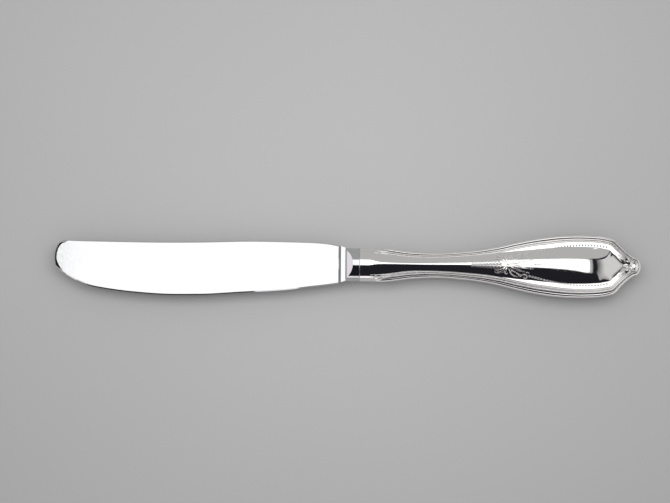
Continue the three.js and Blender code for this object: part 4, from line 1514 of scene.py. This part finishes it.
class KNIFE_OT_handle(bpy.types.Operator):
    """Build the two half shells of the handle"""

    bl_idname = "fruit_knife.handle"
    bl_label = "Handle shells"

    def execute(self, context):
        finishes = context.scene.knife_finishes
        plate = polished_metal("handle_metal", finishes.handle, finishes.groove)
        form = HandleForm(context.scene.knife_handle)
        dress(shell_mesh(form, "front_shell", 1), plate, "handle_metal", "handle_front_shell")
        dress(shell_mesh(form, "back_shell", -1), plate, "handle_metal", "handle_back_shell")
        return {"FINISHED"}


class KNIFE_OT_beads(bpy.types.Operator):
    """Set the rows of beads on the rails of both shells"""

    bl_idname = "fruit_knife.beads"
    bl_label = "Beads"

    def execute(self, context):
        form = HandleForm(context.scene.knife_handle)
        beads, stem_rise = context.scene.knife_beads, context.scene.knife_leaves.stem_rise
        raise_on_shells("beads", lambda relief: add_beads(relief, form, beads, stem_rise))
        return {"FINISHED"}


class KNIFE_OT_leaf_work(bpy.types.Operator):
    """Raise the husk chain, leaves, scrolls and palmette on both shells"""

    bl_idname = "fruit_knife.leaf_work"
    bl_label = "Leaf work"

    def execute(self, context):
        leaves = context.scene.knife_leaves
        raise_on_shells("leaf_work", lambda relief: add_leaf_work(relief, leaves))
        return {"FINISHED"}


class KNIFE_OT_stage(bpy.types.Operator):
    """Build the floor, cards, key light, world and camera"""

    bl_idname = "fruit_knife.stage"
    bl_label = "Stage"

    def execute(self, context):
        settings = context.scene.knife_stage
        build_floor(settings)
        build_cards(settings)
        build_key_light()
        build_world(settings)
        build_camera(settings)
        context.scene.view_settings.view_transform = "Standard"
        return {"FINISHED"}


class KNIFE_OT_inner_finishes(bpy.types.Operator):
    """Give the solder, the braze and the cement core their finishes"""

    bl_idname = "fruit_knife.inner_finishes"
    bl_label = "Solder and core"

    def execute(self, context):
        finishes = context.scene.knife_finishes
        solder, cement = solder_material(finishes.solder), cement_material(finishes.cement)
        for node, material in (
            ("mouth_solder", solder), ("seam_solder", solder), ("tang_braze", solder),
            ("handle_filler", cement),
        ):
            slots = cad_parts[node].data.materials
            slots.clear()
            slots.append(material)
        return {"FINISHED"}


class KNIFE_PT_tools(bpy.types.Panel):
    bl_label = "Fruit knife"
    bl_idname = "KNIFE_PT_tools"
    bl_space_type = "VIEW_3D"
    bl_region_type = "UI"
    bl_category = "Fruit knife"

    def draw(self, context):
        for operator in OPERATORS:
            self.layout.operator(operator.bl_idname)
        for name in GROUPS:
            box = self.layout.box()
            box.label(text=name.replace("_", " ").capitalize())
            group = getattr(context.scene, name)
            for key in group.bl_rna.properties.keys():
                if key not in ("rna_type", "name"):
                    box.prop(group, key)


OPERATORS = (
    KNIFE_OT_blade, KNIFE_OT_bolster, KNIFE_OT_handle, KNIFE_OT_beads, KNIFE_OT_leaf_work,
    KNIFE_OT_inner_finishes, KNIFE_OT_stage,
)
GROUPS = {
    "knife_blade": BladeSizes, "knife_bolster": BolsterSizes, "knife_handle": HandleSizes,
    "knife_beads": BeadSizes, "knife_leaves": LeafSizes, "knife_finishes": FinishColours,
    "knife_stage": StageSettings,
}


def register():
    for cls in (*GROUPS.values(), *OPERATORS, KNIFE_PT_tools):
        bpy.utils.register_class(cls)
    for name, group in GROUPS.items():
        setattr(bpy.types.Scene, name, PointerProperty(type=group))


def unregister():
    for name in GROUPS:
        delattr(bpy.types.Scene, name)
    for cls in reversed((*GROUPS.values(), *OPERATORS, KNIFE_PT_tools)):
        bpy.utils.unregister_class(cls)


def main():
    register()
    for operator in OPERATORS:
        group, name = operator.bl_idname.split(".")
        getattr(getattr(bpy.ops, group), name)()


if __name__ == "__main__":
    main()
